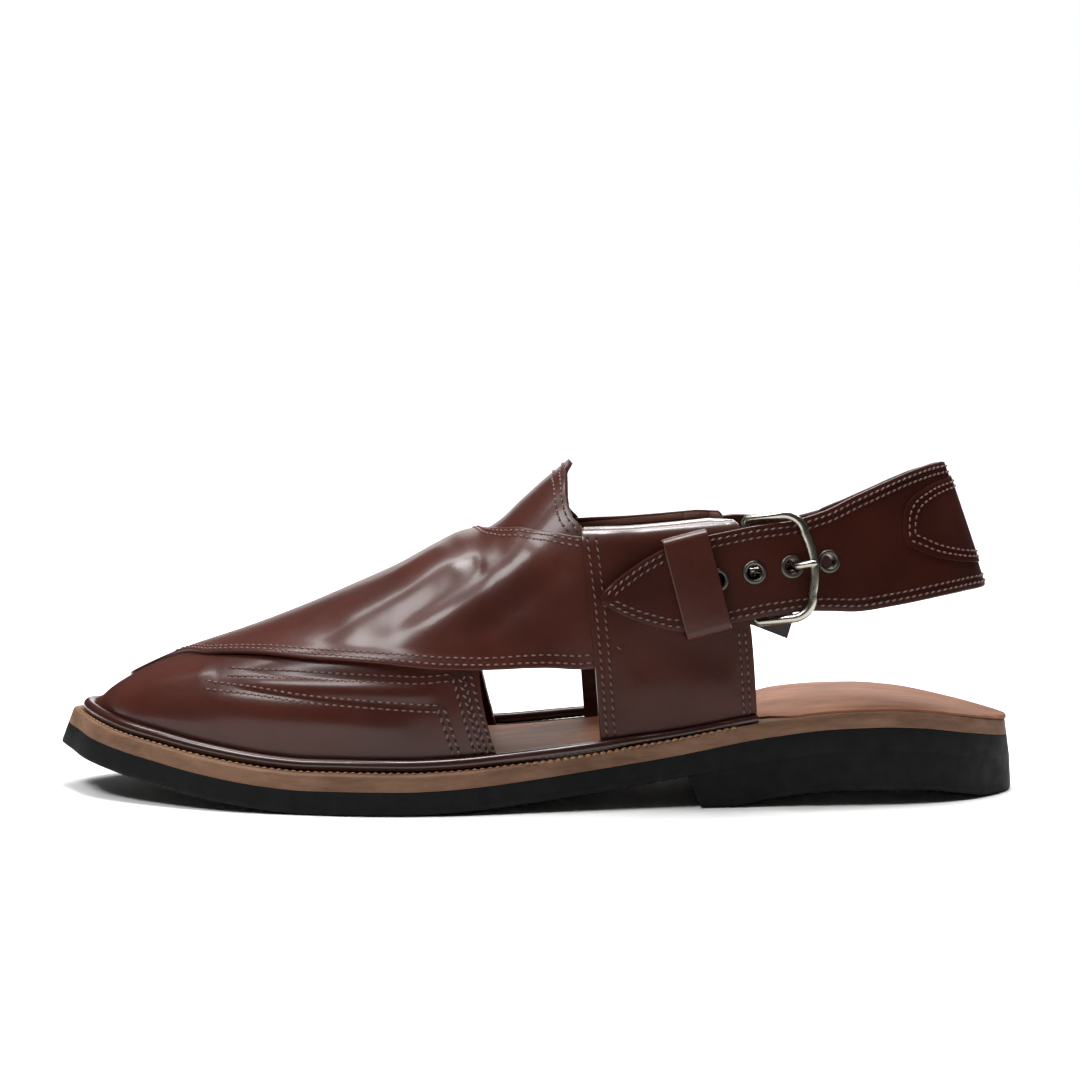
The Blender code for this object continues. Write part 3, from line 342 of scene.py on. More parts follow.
def sweep_of(share):
    return np.arccos(1 - 2 * np.clip(share, 0.0, 1.0))


def share_of(x):
    return x / SOLE_LENGTH + 0.5


def x_of(share):
    return (share - 0.5) * SOLE_LENGTH


def run_of(points):
    """Distance along a line of points from its first one."""
    return np.concatenate([[0], np.cumsum(np.linalg.norm(np.diff(points, axis=0), axis=1))])


def through(rows, column=1, scale=1.0):
    """The curve through one column of a table, over its first column."""
    return smooth([row[0] for row in rows], [row[column] * scale for row in rows])


PLAN = [(sweep_of(s), -o * BALL_WIDTH, i * BALL_WIDTH) for s, o, i in FORE_PLAN]
PLAN += [(sweep_of(s), -o * HEEL_WIDTH, i * HEEL_WIDTH) for s, o, i in HEEL_PLAN]
outer_edge, inner_edge = through(PLAN, 1), through(PLAN, 2)
LINE = [(s, z * TOE_SPRING) for s, z in TOE_LINE] + [(s, z * SEAT_RISE) for s, z in SEAT_LINE]
under_line = through(LINE)
heel_line = through(HEEL_TREAD, 1, HEEL_ARCH)
last_width, last_square = through(LAST, 1), through(LAST, 3)
last_ridge = through(LAST, 2, INSTEP_HEIGHT)
ridge_side = through(RIDGE, 1, BALL_WIDTH)
MIDSOLE_BASE = OUTSOLE_THICKNESS + GAP
INSOLE_BASE = MIDSOLE_BASE + MIDSOLE_THICKNESS + GAP


def underside(x):
    return under_line(share_of(x))


def bed(x):
    """Height at which the upper and the bead stand on the midsole."""
    return underside(x) + INSOLE_BASE


LAST_START = -SOLE_LENGTH / 2 + LAST_TOE_INSET
LAST_REACH = SOLE_LENGTH - LAST_TOE_INSET


def last_angle(x):
    return sweep_of((x - LAST_START) / LAST_REACH)


def last_x(angle):
    return LAST_START + LAST_REACH * (1 - np.cos(angle)) / 2


def section_at(angle):
    """Sizes of the last's sections: x, base, half widths, ridge, height, squareness."""
    x = last_x(angle)
    share = share_of(x)
    outer, inner = outer_edge(angle), inner_edge(angle)
    middle, scale, ridge, base = (outer + inner) / 2, last_width(share), ridge_side(share), bed(x)
    half_out = ridge - (middle + (outer - middle) * scale)
    half_in = (middle + (inner - middle) * scale) - ridge
    return x, base, half_out, half_in, ridge, last_ridge(share) - base, last_square(share)


def last_point(angle, turn):
    """Points of the last for arrays of station angle and turn (-1 outer foot edge, 0 ridge)."""
    x, base, half_out, half_in, ridge, height, square = section_at(angle)
    half = np.where(turn < 0, half_out, half_in)
    side = np.where(turn < 0, -1.0, 1.0)
    rise = 1 - np.abs(turn)
    low = np.minimum(BULGE_HEIGHT, 0.3 * height)
    swell = BULGE * np.minimum(1.0, height / (3 * BULGE_HEIGHT))
    t = np.clip(rise / LOW_SHARE, 0, 1)
    bend = np.clip((rise - LOW_SHARE) / (1 - LOW_SHARE), 0, 1) * math.pi / 2
    power = 2 / square
    foot = rise < LOW_SHARE
    arched = (half + swell) * np.maximum(np.cos(bend), 0) ** power
    y = np.where(foot, half + swell * (1 - (1 - t) ** 2), arched)
    z = np.where(foot, low * t, low + (height - low) * np.sin(bend) ** power)
    return np.stack([x + 0 * y, ridge + side * y, base + z], axis=-1)


def turn_at(angle, z, side):
    """Turn at which the last reaches a height over the floor, on one side."""
    _, base, _, _, _, height, square = section_at(angle)
    low = np.minimum(BULGE_HEIGHT, 0.3 * height)
    up = z - base
    level = np.clip((up - low) / (height - low), 0.0, 1.0)
    bend = np.arcsin(level ** (square / 2))
    above = LOW_SHARE + (1 - LOW_SHARE) * bend / (math.pi / 2)
    rise = np.where(up <= low, LOW_SHARE * np.maximum(up, 0) / low, above)
    return side * (1 - rise)


def unit(vectors):
    return vectors / np.maximum(np.linalg.norm(vectors, axis=-1, keepdims=True), 1e-12)


def last_normal(angle, turn):
    step = 2e-3
    across = last_point(angle, np.minimum(turn + step, 1.0))
    across = across - last_point(angle, np.maximum(turn - step, -1.0))
    ahead = last_point(angle + step, turn) - last_point(np.maximum(angle - step, 0.004), turn)
    normal = unit(np.cross(ahead, across))
    rough = np.stack([0 * turn, turn, 1 - np.abs(turn)], axis=-1)
    normal = np.where((normal * rough).sum(-1, keepdims=True) < 0, -normal, normal)
    level = unit(normal * np.array([1.0, 1.0, 0.0]))
    share = ease(2 * np.clip((np.abs(turn) - 1 + LOW_SHARE) / LOW_SHARE, 0, 1))[..., None]
    return unit(normal * (1 - share) + level * share)


def on_last(angle, turn, out, lift=0.0):
    """Points at a distance out from the last, kept above the midsole."""
    angle, turn = np.asarray(angle, float), np.asarray(turn, float)
    points = last_point(angle, turn) + last_normal(angle, turn) * np.asarray(out)[..., None]
    points[..., 2] = np.maximum(points[..., 2], bed(points[..., 0]) + lift)
    return points


# Materials


def linear(code):
    """An sRGB hex value as linear red, green, blue, alpha."""
    parts = [int(code[i : i + 2], 16) / 255 for i in (1, 3, 5)]
    return [c / 12.92 if c <= 0.04045 else ((c + 0.055) / 1.055) ** 2.4 for c in parts] + [1.0]


def add_node(tree, kind, values, **settings):
    """Adds a node, or takes the shader that is there, with its settings, values and links."""
    node = tree.nodes.get(kind) or tree.nodes.new(kind)
    for key, value in settings.items():
        setattr(node, key, value)
    for socket, value in values.items():
        if isinstance(value, bpy.types.NodeSocket):
            tree.links.new(value, node.inputs[socket])
        else:
            node.inputs[socket].default_value = value
    return node


def plain(name, color, roughness):
    """An even finish; the richer ones start from it."""
    material = bpy.data.materials.new(name)
    material.use_nodes = True
    add_node(material.node_tree, "Principled BSDF", {"Base Color": linear(color), "Roughness": roughness})
    return material


def begin(name, color, roughness):
    """An even finish to enrich: the material, its node tree and the place on the object."""
    material = plain(name, color, roughness)
    tree = material.node_tree
    return material, tree, add_node(tree, "ShaderNodeTexCoord", {}).outputs["Object"]


def clouds(tree, place, tones, size, low, high, **noise):
    """Colour: two tones in soft clouds of the size given."""
    cloud = add_node(tree, "ShaderNodeTexNoise", {"Vector": place, "Scale": 1 / size, **noise}).outputs[0]
    levels = {"Value": cloud, "From Min": low, "From Max": high}
    share = add_node(tree, "ShaderNodeMapRange", levels).outputs[0]
    mix = {0: share, 6: linear(tones[0]), 7: linear(tones[1])}
    return add_node(tree, "ShaderNodeMix", mix, data_type="RGBA").outputs[2]


def patches(tree, place, size, low, high, **noise):
    """Roughness: it wanders between two values over patches of the size given."""
    patch = add_node(tree, "ShaderNodeTexNoise", {"Vector": place, "Scale": 1 / size, **noise}).outputs[0]
    levels = {"Value": patch, "From Min": 0.3, "From Max": 0.7, "To Min": low, "To Max": high}
    return add_node(tree, "ShaderNodeMapRange", levels).outputs[0]


def relief(tree, place, size, depth, below=None, **noise):
    """Normal: bumps of the size and depth given, on the relief below them."""
    height = add_node(tree, "ShaderNodeTexNoise", {"Vector": place, "Scale": 1 / size, **noise}).outputs[0]
    bump = {"Height": height, "Distance": depth, "Strength": 1.0}
    if below:
        bump["Normal"] = below
    return add_node(tree, "ShaderNodeBump", bump).outputs[0]


def polished_leather(name, color, dark, roughness=0.36, coat=0.32, gloss=0.20, grain=1.0, burnish=None):
    """Vegetable-tanned calf, dyed and waxed: cloudy dye, wrinkles and pores, soft wax.

    A collar is burnished brighter above the height given.
    """
    material, tree, place = begin(name, color, roughness)
    wrinkles = relief(tree, place, 0.0045, 0.00012 * grain, Detail=4.0, Roughness=0.6)
    low, high = roughness - 0.05, roughness + 0.08
    shader = {
        "Base Color": clouds(tree, place, (color, dark), 0.030, 0.35, 0.70, Detail=3.0),
        "Roughness": patches(tree, place, 0.012, low, high, Detail=4.0, Roughness=0.6),
        "Normal": relief(tree, place, 0.0009, 0.00005 * grain, wrinkles, Detail=3.0, Roughness=0.6),
        "Coat Weight": coat,
        "Coat Roughness": 0.20,
        "Specular IOR Level": gloss,
    }
    if burnish:
        height = add_node(tree, "ShaderNodeSeparateXYZ", {"Vector": place}).outputs["Z"]
        rise = {"Value": height, "From Min": burnish, "From Max": burnish + BURNISH_RISE}
        rise.update({"To Min": coat, "To Max": 1.0})
        shader["Coat Weight"] = add_node(tree, "ShaderNodeMapRange", rise).outputs[0]
    add_node(tree, "Principled BSDF", shader)
    return material


def flesh_leather(name, color, dark, grain=0.0016, roughness=0.62):
    """Undyed or sanded leather: matt, with short fibres along the shoe that mottle it."""
    material, tree, place = begin(name, color, roughness)
    fibre = add_node(tree, "ShaderNodeMapping", {"Vector": place, "Scale": (0.35, 1.0, 1.6)}).outputs[0]
    shader = {
        "Base Color": clouds(tree, fibre, (color, dark), grain * 4, 0.32, 0.68, Detail=5.0, Roughness=0.65),
        "Normal": relief(tree, fibre, grain, 0.00010, Detail=4.0, Roughness=0.6),
        "Specular IOR Level": 0.15,
    }
    add_node(tree, "Principled BSDF", shader)
    return material


def black_rubber():
    """Moulded rubber, buffed on its edge: near black with a dull, dusty sheen."""
    material, tree, place = begin("moulded_rubber", "#0b0c0d", 0.60)
    tones = ("#090a0b", "#111214")
    shader = {
        "Base Color": clouds(tree, place, tones, 0.009, 0.45, 0.75, Detail=5.0, Roughness=0.7),
        "Roughness": patches(tree, place, 0.004, 0.55, 0.72, Detail=4.0),
        "Normal": relief(tree, place, 0.0011, 0.00004, Detail=3.0),
        "Specular IOR Level": 0.15,
    }
    add_node(tree, "Principled BSDF", shader)
    return material


def plated_metal(name, color, roughness):
    """Nickel plate, tumbled and slightly dulled: clear highlights that handling marks break."""
    material, tree, place = begin(name, color, roughness)
    marks = patches(tree, place, 0.004, roughness - 0.05, roughness + 0.08, Detail=4.0)
    add_node(tree, "Principled BSDF", {"Roughness": marks, "Metallic": 1.0})
    return material


def waxed_thread(name, color, dark):
    """Bonded polyester thread: matt, mottled in two tones over spots about 0.5 mm across."""
    material, tree, place = begin(name, color, 0.55)
    two_tone_mottle = clouds(tree, place, (color, dark), 0.0005, 0.35, 0.65)
    add_node(tree, "Principled BSDF", {"Base Color": two_tone_mottle})
    return material


LEATHER = polished_leather("waxed_oxblood_calf", "#442018", "#371712", 0.36, 0.28, 0.16)
BAND_LEATHER = polished_leather("waxed_oxblood_calf_band", "#49231b", "#3a1a14", 0.36, 0.34, 0.18)
QUARTER_LEATHER = polished_leather(
    "waxed_oxblood_quarter", "#432018", "#361711", 0.40, 0.14, 0.12, 1.0, COLLAR_HEIGHT - BURNISH_DEPTH
)
STRAP_LEATHER = polished_leather("waxed_oxblood_strap", "#3a170f", "#2b100b", 0.42, 0.10, 0.12)
LINING = flesh_leather("smooth_brown_lining", "#5a3a2e", "#452b22", 0.0010, 0.42)
EDGE = plain("edge_dressing", "#2a1511", 0.45)
BEAD = polished_leather("rolled_bead_leather", "#34150f", "#28100b", 0.32, 0.80, 0.20, 0.15)
BOARD = flesh_leather("leather_board", "#7d5e4c", "#5c4332")
SOCK = flesh_leather("tan_sock_leather", "#8c5c42", "#6d4732", 0.0012, 0.55)
RUBBER = black_rubber()
NICKEL = plated_metal("antique_nickel", "#aba69b", 0.24)
GUNMETAL = plated_metal("gunmetal_plate", "#5a5650", 0.38)
THREAD = waxed_thread("rose_tan_thread", "#7d554a", "#53332c")
LEDGE_THREAD = waxed_thread("gold_tan_thread", "#96704a", "#6a472c")
# Near-black guard leather: painted shade, the shadow the strap casts on the buckle guard.
PAINTED_SHADE_GUARD = plain("guard_leather_painted_shade", "#1c0f0d", 0.55)
# Needle holes are small near-black cones on the leather: painted shade inside the holes.
NEEDLE_HOLE_SHADE = plain("needle_hole_painted_shade", "#0e0605", 0.8)


# Making pieces


def dress(piece, node, materials, replaces=True):
    """Gives a finished piece its materials, hangs it from the root and hides the frame part it replaces, when
    asked to.
    """
    piece.data.materials.clear()
    for material in materials:
        piece.data.materials.append(material)
    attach(piece, "root")
    if replaces:
        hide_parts(node)
    return piece


def apply_all(piece):
    bpy.ops.object.select_all(action="DESELECT")
    piece.select_set(True)
    bpy.context.view_layer.objects.active = piece
    for step in list(piece.modifiers):
        bpy.ops.object.modifier_apply(modifier=step.name)


def grid_piece(name, places):
    """A grid primitive whose vertices are laid onto rows of places."""
    rows, columns = places.shape[:2]
    bpy.ops.object.select_all(action="DESELECT")
    bpy.ops.mesh.primitive_grid_add(x_subdivisions=columns - 1, y_subdivisions=rows - 1, size=1)
    piece = bpy.context.object
    piece.name = name
    piece.data.name = name
    piece.data.vertices.foreach_set("co", places.reshape(-1).astype(np.float32))
    piece.data.update()
    return piece


def leather_sheet(name, places, out, wall, edge=0.00035, rim=1):
    """A cut piece of leather: laid in place, given its thickness outwards, edges eased."""
    piece = grid_piece(name, places)
    middle = Vector(places[places.shape[0] // 2, places.shape[1] // 2])
    outwards = Vector(out[places.shape[0] // 2, places.shape[1] // 2])
    work = bmesh.new()
    work.from_mesh(piece.data)
    bmesh.ops.remove_doubles(work, verts=work.verts, dist=0.00002)
    bmesh.ops.recalc_face_normals(work, faces=work.faces)
    nearest = min(work.faces, key=lambda face: (face.calc_center_median() - middle).length)
    if nearest.normal.dot(outwards) < 0:
        bmesh.ops.reverse_faces(work, faces=work.faces)
    work.to_mesh(piece.data)
    work.free()
    thick = piece.modifiers.new("wall", "SOLIDIFY")
    thick.thickness = wall
    thick.offset = 1
    thick.material_offset_rim = rim
    if edge:
        ease_edge = piece.modifiers.new("eased_edge", "BEVEL")
        ease_edge.width = edge
        ease_edge.segments = 2
        ease_edge.limit_method = "ANGLE"
        ease_edge.angle_limit = SHARP
    apply_all(piece)
    bpy.ops.object.shade_smooth_by_angle(angle=SHARP)
    return piece


def ring_piece(name, rings, looped=False):
    """A closed solid through rings of as many points: a grid primitive rolled up and capped."""
    rings = np.array(rings, float)
    if looped:
        rings = np.concatenate([rings, rings[:1]])
    rings = np.concatenate([rings, rings[:, :1]], axis=1)
    rows, columns = rings.shape[:2]
    piece = grid_piece(name, rings)
    work = bmesh.new()
    work.from_mesh(piece.data)
    work.verts.ensure_lookup_table()
    same = {}
    for i in range(rows):
        for j in range(columns):
            first = (i % (rows - 1) if looped else i) * columns + j % (columns - 1)
            if first != i * columns + j:
                same[work.verts[i * columns + j]] = work.verts[first]
    bmesh.ops.weld_verts(work, targetmap=same)
    bmesh.ops.holes_fill(work, edges=[edge for edge in work.edges if edge.is_boundary])
    bmesh.ops.recalc_face_normals(work, faces=work.faces)
    work.to_mesh(piece.data)
    work.free()
    bpy.ops.object.shade_smooth_by_angle(angle=math.radians(40))
    return piece


def rod_piece(name, points, radii, sides=14, closed=False):
    """A round rod along points, as rings square to the path."""
    points = np.array(points, float)
    count = len(points)
    radii = np.full(count, radii) if np.isscalar(radii) else np.array(radii)
    if closed:
        along = np.roll(points, -1, 0) - np.roll(points, 1, 0)
    else:
        along = np.gradient(points, axis=0)
    along = unit(along)
    first = np.cross(along[0], [0.3, 0.2, 1.0])
    sides_dir = [unit(first)]
    for i in range(1, count):
        last = sides_dir[-1] - along[i] * np.dot(sides_dir[-1], along[i])
        sides_dir.append(unit(last))
    rings = []
    spins = np.arange(sides) * 2 * math.pi / sides
    for i in range(count):
        other = np.cross(along[i], sides_dir[i])
        rings.append(
            points[i] + radii[i] * (np.cos(spins)[:, None] * sides_dir[i] + np.sin(spins)[:, None] * other)
        )
    return ring_piece(name, rings, closed)


# Soles


def outline_at(angle, height, reach=TOE_REACH):
    """One station of the sole's edge at a height above its underside."""
    toe, side, back = TOE_LEAN * height - reach, 1 - SIDE_LEAN * height / (BALL_WIDTH / 2), BACK_LEAN * height
    reach = SOLE_LENGTH - toe - back
    x = -SOLE_LENGTH / 2 + toe + reach * (1 - math.cos(angle)) / 2
    outer, inner = float(outer_edge(angle)), float(inner_edge(angle))
    middle = (outer + inner) / 2
    return x, middle + (outer - middle) * side, middle + (inner - middle) * side


def rounded_foot(radius):
    """Inset and height along the rounded lower edge of a layer, from its face up."""
    bends = [math.pi / 2 * i / 4 for i in range(5)]
    return [(radius * (1 - math.sin(bend)), radius * (1 - math.cos(bend))) for bend in bends]


def layer_rings(base, thickness, top_round, low_round, rear_round):
    """Rings of one sole layer with rounded upper and lower edges."""
    rings = []
    breast = float(sweep_of(HEEL_BREAST))
    for angle in stations(170):
        ring = []
        foot = low_round + (rear_round - low_round) * float(ease((angle - breast) / 0.03))
        profile = rounded_foot(foot)
        for i in range(5):
            bend = math.pi / 2 * i / 4
            profile.append((top_round * (1 - math.cos(bend)), thickness - top_round * (1 - math.sin(bend))))
        for side in (0, 1):
            for inset, height in profile if side == 0 else profile[::-1]:
                x, outer, inner = outline_at(angle, base + height)
                width = max(inner - outer, 1e-5)
                pull = min(inset, width * 0.4)
                y = outer + pull if side == 0 else inner - pull
                middle = -math.cos(angle)
                ring.append((x - inset * middle**15 * 0.7, y, float(underside(x)) + base + height))
        rings.append(ring)
    return rings


def stations(count):
    return np.linspace(END_SWEEP, math.pi - END_SWEEP, count)


def make_outsole():
    thick = OUTSOLE_THICKNESS + GAP * 0.9
    rings = layer_rings(0.0, thick, top_round=0.0002, low_round=0.0010, rear_round=0.0001)
    dress(ring_piece("rubber_outsole", rings), "outsole", [RUBBER])


def make_midsole():
    thick = MIDSOLE_THICKNESS + GAP * 0.5
    rings = layer_rings(MIDSOLE_BASE, thick, top_round=0.0007, low_round=0.0002, rear_round=0.0002)
    dress(ring_piece("leather_midsole", rings), "midsole", [BOARD])


def make_heel():
    """Rubber heel block: slanted breast, rounded lower edge, tread arched along its length."""
    breast = float(sweep_of(HEEL_BREAST))
    rings = []
    back = SOLE_LENGTH / 2
    for k, angle in enumerate([breast, *np.linspace(breast, math.pi - END_SWEEP, 70)]):
        x, outer, inner = outline_at(angle, 0.0, 0.0)
        slant = HEEL_BREAST_SLANT * (back - x) / (back - x_of(HEEL_BREAST))
        cut = HEEL_FACE_EASE if k == 0 else 0.0
        top = float(underside(x)) - GAP * 0.05
        tread = float(heel_line(share_of(x + slant)))
        ring = []
        run = [(inset, height, 1.0) for inset, height in rounded_foot(HEEL_ROUND)]
        run += [(0.0, 0.5 * (top - tread), 0.5), (0.0002, top - tread, 0.0)]
        for side in (0, 1):
            for inset, height, low in run if side == 0 else run[::-1]:
                pull = min(inset + cut, 0.45 * (inner - outer))
                y = outer + pull if side == 0 else inner - pull
                down = 1 - height / (top - tread)
                foot = slant * down
                flare = HEEL_FLARE * down * max(0.0, (x - 0.10) / (back - 0.10)) ** 2
                ring.append((x + foot + flare * 0.4, y, tread + height + cut * 0.4 * low))
        rings.append(ring)
    dress(ring_piece("rubber_heel", rings), "heel", [RUBBER])


def insole_edges(x):
    """Outer and inner edge of the sock at x."""
    _, _, half_out, half_in, ridge, _, _ = section_at(last_angle(x))
    inside = (ridge - half_out + INSOLE_FIT, ridge + half_in - INSOLE_FIT)
    seat = 1 - INSOLE_SEAT_INSET / (HEEL_WIDTH / 2)
    edge = sweep_of((x + SOLE_LENGTH / 2) / (SOLE_LENGTH - INSOLE_SEAT_INSET))
    outside = (outer_edge(edge) * seat, inner_edge(edge) * seat)
    share = ease((share_of(x) - QUARTER_REAR - 0.008) / 0.030)
    return [float(a + (b - a) * share) for a, b in zip(inside, outside)]


def make_insole():
    """Sock leather with a rounded edge and a slight dish where the foot lies."""
    first = LAST_START + 0.0036
    reach = SOLE_LENGTH / 2 - INSOLE_SEAT_INSET - first
    rings = []
    for angle in stations(150):
        x = first + reach * (1 - math.cos(angle)) / 2
        outer, inner = insole_edges(x)
        ring = [(x, inner, float(bed(x)) - 0.0001), (x, outer, float(bed(x)) - 0.0001)]
        for i in range(25):
            t = i / 24
            edge = 1 - (2 * t - 1) ** 16
            dish = INSOLE_DISH * math.sin(math.pi * t)
            height = float(bed(x)) + INSOLE_THICKNESS * (0.45 + 0.55 * edge) - dish
            ring.append((x, outer + (inner - outer) * t, height))
        rings.append(ring)
    dress(ring_piece("sock_insole", rings), "insole", [SOCK])


# Upper


def vamp_rear(z, side):
    """Where the vamp ends, by height: window edge, then under the band, then the tongue."""
    peak, length = x_of(TONGUE_PEAK), x_of(QUARTER_REAR) - x_of(QUARTER_FRONT)
    rise = INSTEP_HEIGHT + 0.004 - COLLAR_HEIGHT
    window = x_of(WINDOW_FRONT) - (0.0028 if side < 0 else 0.0016 + INNER_FORWARD)
    rows = [(0.004, window + 0.0080), (WINDOW_TOP - 0.001, window), (WINDOW_TOP + 0.003, window + 0.004)]
    rows += [(WINDOW_TOP + 0.012, x_of(QUARTER_FRONT) + 0.002), (0.070, x_of(QUARTER_FRONT) + 0.003)]
    rows += [(COLLAR_HEIGHT + up * rise, peak + back * length) for back, up in TONGUE_EDGE[::-1]]
    rows.append((0.110, peak + 0.0002))
    return through(rows)(z)


def vamp_angles(turn):
    """Station angle at which each line of constant turn meets the vamp's rear edge."""
    tries = np.linspace(last_angle(x_of(0.30)), last_angle(x_of(0.60)), 700)
    found = []
    for t in turn:
        points = on_last(tries, np.full_like(tries, t), np.full_like(tries, VAMP_WALL / 2))
        side = -1 if t < 0 else 1
        past = points[:, 0] - vamp_rear(points[:, 2], side) > 0
        found.append(tries[int(np.argmax(past))] if past.any() else tries[-1])
    return np.array(found)


def fold(points, line, width, depth):
    """A soft ridge or trough along a line of (x, z) places seen from the side, in millimetres."""
    flat = points[..., [0, 2]] / MM
    line = np.array(line, float)
    away = np.full(flat.shape[:-1], 1e9)
    reach = np.zeros(flat.shape[:-1])
    run = run_of(line)
    for i in range(len(line) - 1):
        step = line[i + 1] - line[i]
        t = np.clip(((flat - line[i]) @ step) / (step @ step), 0, 1)
        found = np.linalg.norm(flat - (line[i] + t[..., None] * step), axis=-1)
        reach = np.where(found < away, (run[i] + t * (run[i + 1] - run[i])) / run[-1], reach)
        away = np.minimum(away, found)
    fade = ease(reach / 0.25) * ease((1 - reach) / 0.12)
    return depth * MM * np.exp(-((away / width) ** 2)) * fade


# Rows of thread on the outer forefoot as seen in the photograph, (x, z) in millimetres: two
# run along it, three run down to the bead.
ROW_ALONG_HIGH = ((-90.0, 37.0), (-67.0, 37.6), (-51.0, 37.6), (-35.0, 37.5), (-24.6, 38.4))
ROW_ALONG_LOW = ((-96.7, 33.3), (-82.6, 32.8), (-67.0, 31.5), (-51.0, 30.8), (-35.0, 30.0), (-27.8, 29.7))
ROW_DOWN_FRONT = ((-27.4, 30.0), (-25.4, 24.4), (-22.6, 16.0))
ROW_DOWN_MIDDLE = ((-22.9, 38.6), (-20.4, 29.5), (-16.6, 16.5))
ROW_DOWN_REAR = ((-19.9, 39.6), (-17.2, 29.0), (-12.9, 16.2))
PLAIT = ((-94.0, 35.2), (-67.0, 34.6), (-51.0, 34.3), (-35.0, 33.8), (-26.0, 34.0))

# Soft folds of the outer side: line, width, height out, all in millimetres.
VAMP_FOLDS = (
    (PLAIT, 1.8, 0.60),
    (ROW_ALONG_HIGH, 1.3, -0.30),
    (ROW_ALONG_LOW, 1.3, -0.30),
    (((-104.0, 31.0), (-70.0, 27.0), (-34.0, 23.5)), 4.2, 0.60),
    (((-130.0, 24.0), (-114.0, 32.0), (-94.0, 36.8)), 2.4, 0.70),
)
BAND_FOLDS = (
    (((-94.0, 49.0), (-82.0, 54.0), (-62.0, 64.0)), 5.0, 0.6),
    (((-62.5, 47.0), (-44.5, 56.0), (-22.5, 73.0)), 5.0, 0.95),
    (((-50.5, 46.0), (-32.5, 56.0), (-12.5, 70.0)), 3.6, -0.75),
    (((-38.5, 46.0), (-18.5, 58.0), (3.5, 75.0)), 4.2, 0.9),
    (((-20.5, 46.0), (-4.5, 58.0), (11.5, 72.0)), 4.0, -0.6),
)


def folds_on(points, folds):
    """Sum of the folds on the outer side only."""
    total = np.zeros(points.shape[:-1])
    for line, width, depth in folds:
        total += fold(points, line, width, depth)
    return total * ease(-points[..., 1] / 0.012)


# Stations stand evenly up to here; behind it they follow the vamp's rear edge.
EVEN_TO = -0.0230
NOSE_ANGLE = 0.28


def vamp_relief(angle, turn):
    return np.maximum(folds_on(last_point(angle, turn), VAMP_FOLDS), -0.0001)


def make_vamp():
    """Inner vamp with the tongue: toe, outer forefoot and peak, over the whole last."""
    turns = np.concatenate([np.linspace(-1, -0.1, 100), np.linspace(-0.1, 1, 60)[1:]])
    ends = vamp_angles(turns)
    even = float(last_angle(EVEN_TO))
    front = np.repeat(np.linspace(0.02, even, 115)[:, None], len(turns), 1)
    rear = even + (ends[None, :] - even) * np.linspace(0, 1, 40)[1:, None]
    angle = np.concatenate([front, rear])
    turn = np.repeat(turns[None, :], len(angle), 0)
    places = on_last(angle, turn, 0.0002 + vamp_relief(angle, turn))
    nose = np.clip(angle / NOSE_ANGLE, 0, 1)
    ground = bed(places[..., 0])
    places[..., 2] = ground + (places[..., 2] - ground) * np.sqrt(1 - (1 - nose) ** 2)
    piece = leather_sheet("vamp_and_tongue", places, last_normal(angle, turn), VAMP_WALL - 0.0002)
    dress(piece, "upper", [LEATHER, EDGE])


def band_edges():
    lower = [(0.30, 1.0), (0.35, 0.50)]
    lower.append((float(last_angle(x_of(BAND_TOE_CROSSING))), 0.0))
    for share, height in BAND_LOWER:
        angle = float(last_angle(x_of(share)))
        lower.append((angle, float(turn_at(angle, height * INSTEP_HEIGHT - BAND_WALL, -1))))
    upper = []
    for share, height in ((WINDOW_FRONT + 0.010, 0.20), (WINDOW_FRONT - 0.008, 0.42), (0.447, 0.66)):
        angle = float(last_angle(x_of(share) - INNER_FORWARD))
        upper.append((angle, float(turn_at(angle, height * INSTEP_HEIGHT, 1))))
    upper[0] = (upper[0][0], 1.0)
    upper.append((float(last_angle(x_of(BAND_INSTEP_CROSSING))), 0.0))
    for share, height in BAND_UPPER:
        angle = float(last_angle(x_of(share)))
        upper.append((angle, float(turn_at(angle, height * INSTEP_HEIGHT - BAND_WALL, -1))))
    return lower, upper


def along(points, count):
    """Evenly spaced (angle, turn) pairs along a line drawn on the last."""
    points = np.array(points)
    places = last_point(points[:, 0], points[:, 1])
    run = run_of(places)
    marks = np.linspace(0, run[-1], count)
    return smooth(run, points[:, 0])(marks), smooth(run, points[:, 1])(marks)


def band_place(steps, ribs):
    """Angle and turn of every point of the band: rows run from the inner foot to the quarter."""
    lower, upper = band_edges()
    low_angle, low_turn = along(lower, steps)
    high_angle, high_turn = along(upper, steps)
    share = np.linspace(0, 1, ribs)[None, :]
    angle = low_angle[:, None] * (1 - share) + high_angle[:, None] * share
    turn = low_turn[:, None] * (1 - share) + high_turn[:, None] * share
    return angle, turn


def band_out(angle, turn, share):
    """Distance of the band's face from the last: tucked in at the inner foot, softly folded,
    free and a little raised along its lower edge on the outer side."""
    x = last_x(angle)
    tuck = BAND_WALL * SKIVE * np.maximum(ease((turn - 0.72) / 0.28), 1 - ease((x - x_of(0.08)) / 0.030))
    free = ease((-turn - 0.05) / 0.3) * ease((x_of(0.56) - x) / 0.03)
    lift = BAND_LIFT * free * (1 - ease(share / 0.10)) * ease((x - x_of(0.14)) / 0.03)
    folds = folds_on(last_point(angle, turn), BAND_FOLDS) * np.sin(np.pi * np.clip(share, 0, 1)) ** 0.7
    return VAMP_WALL + BAND_WALL - tuck + lift + folds


def make_band():
    """Outer band: from the inner side of the forefoot over the vamp to the outer quarter."""
    steps, ribs = 190, 71
    angle, turn = band_place(steps, ribs)
    share = np.repeat(np.linspace(0, 1, ribs)[None, :], steps, 0)
    out = band_out(angle, turn, share)
    places = on_last(angle, turn, out - BAND_WALL + 0.0001, 0.0002)
    piece = leather_sheet("crossing_band", places, last_normal(angle, turn), BAND_WALL, 0.00045)
    dress(piece, "upper", [BAND_LEATHER, EDGE])


def quarter_offset(x):
    return VAMP_WALL + QUARTER_WALL + SEAM_SWELL * (1 - ease((x - x_of(QUARTER_FRONT) - 0.003) / 0.013))


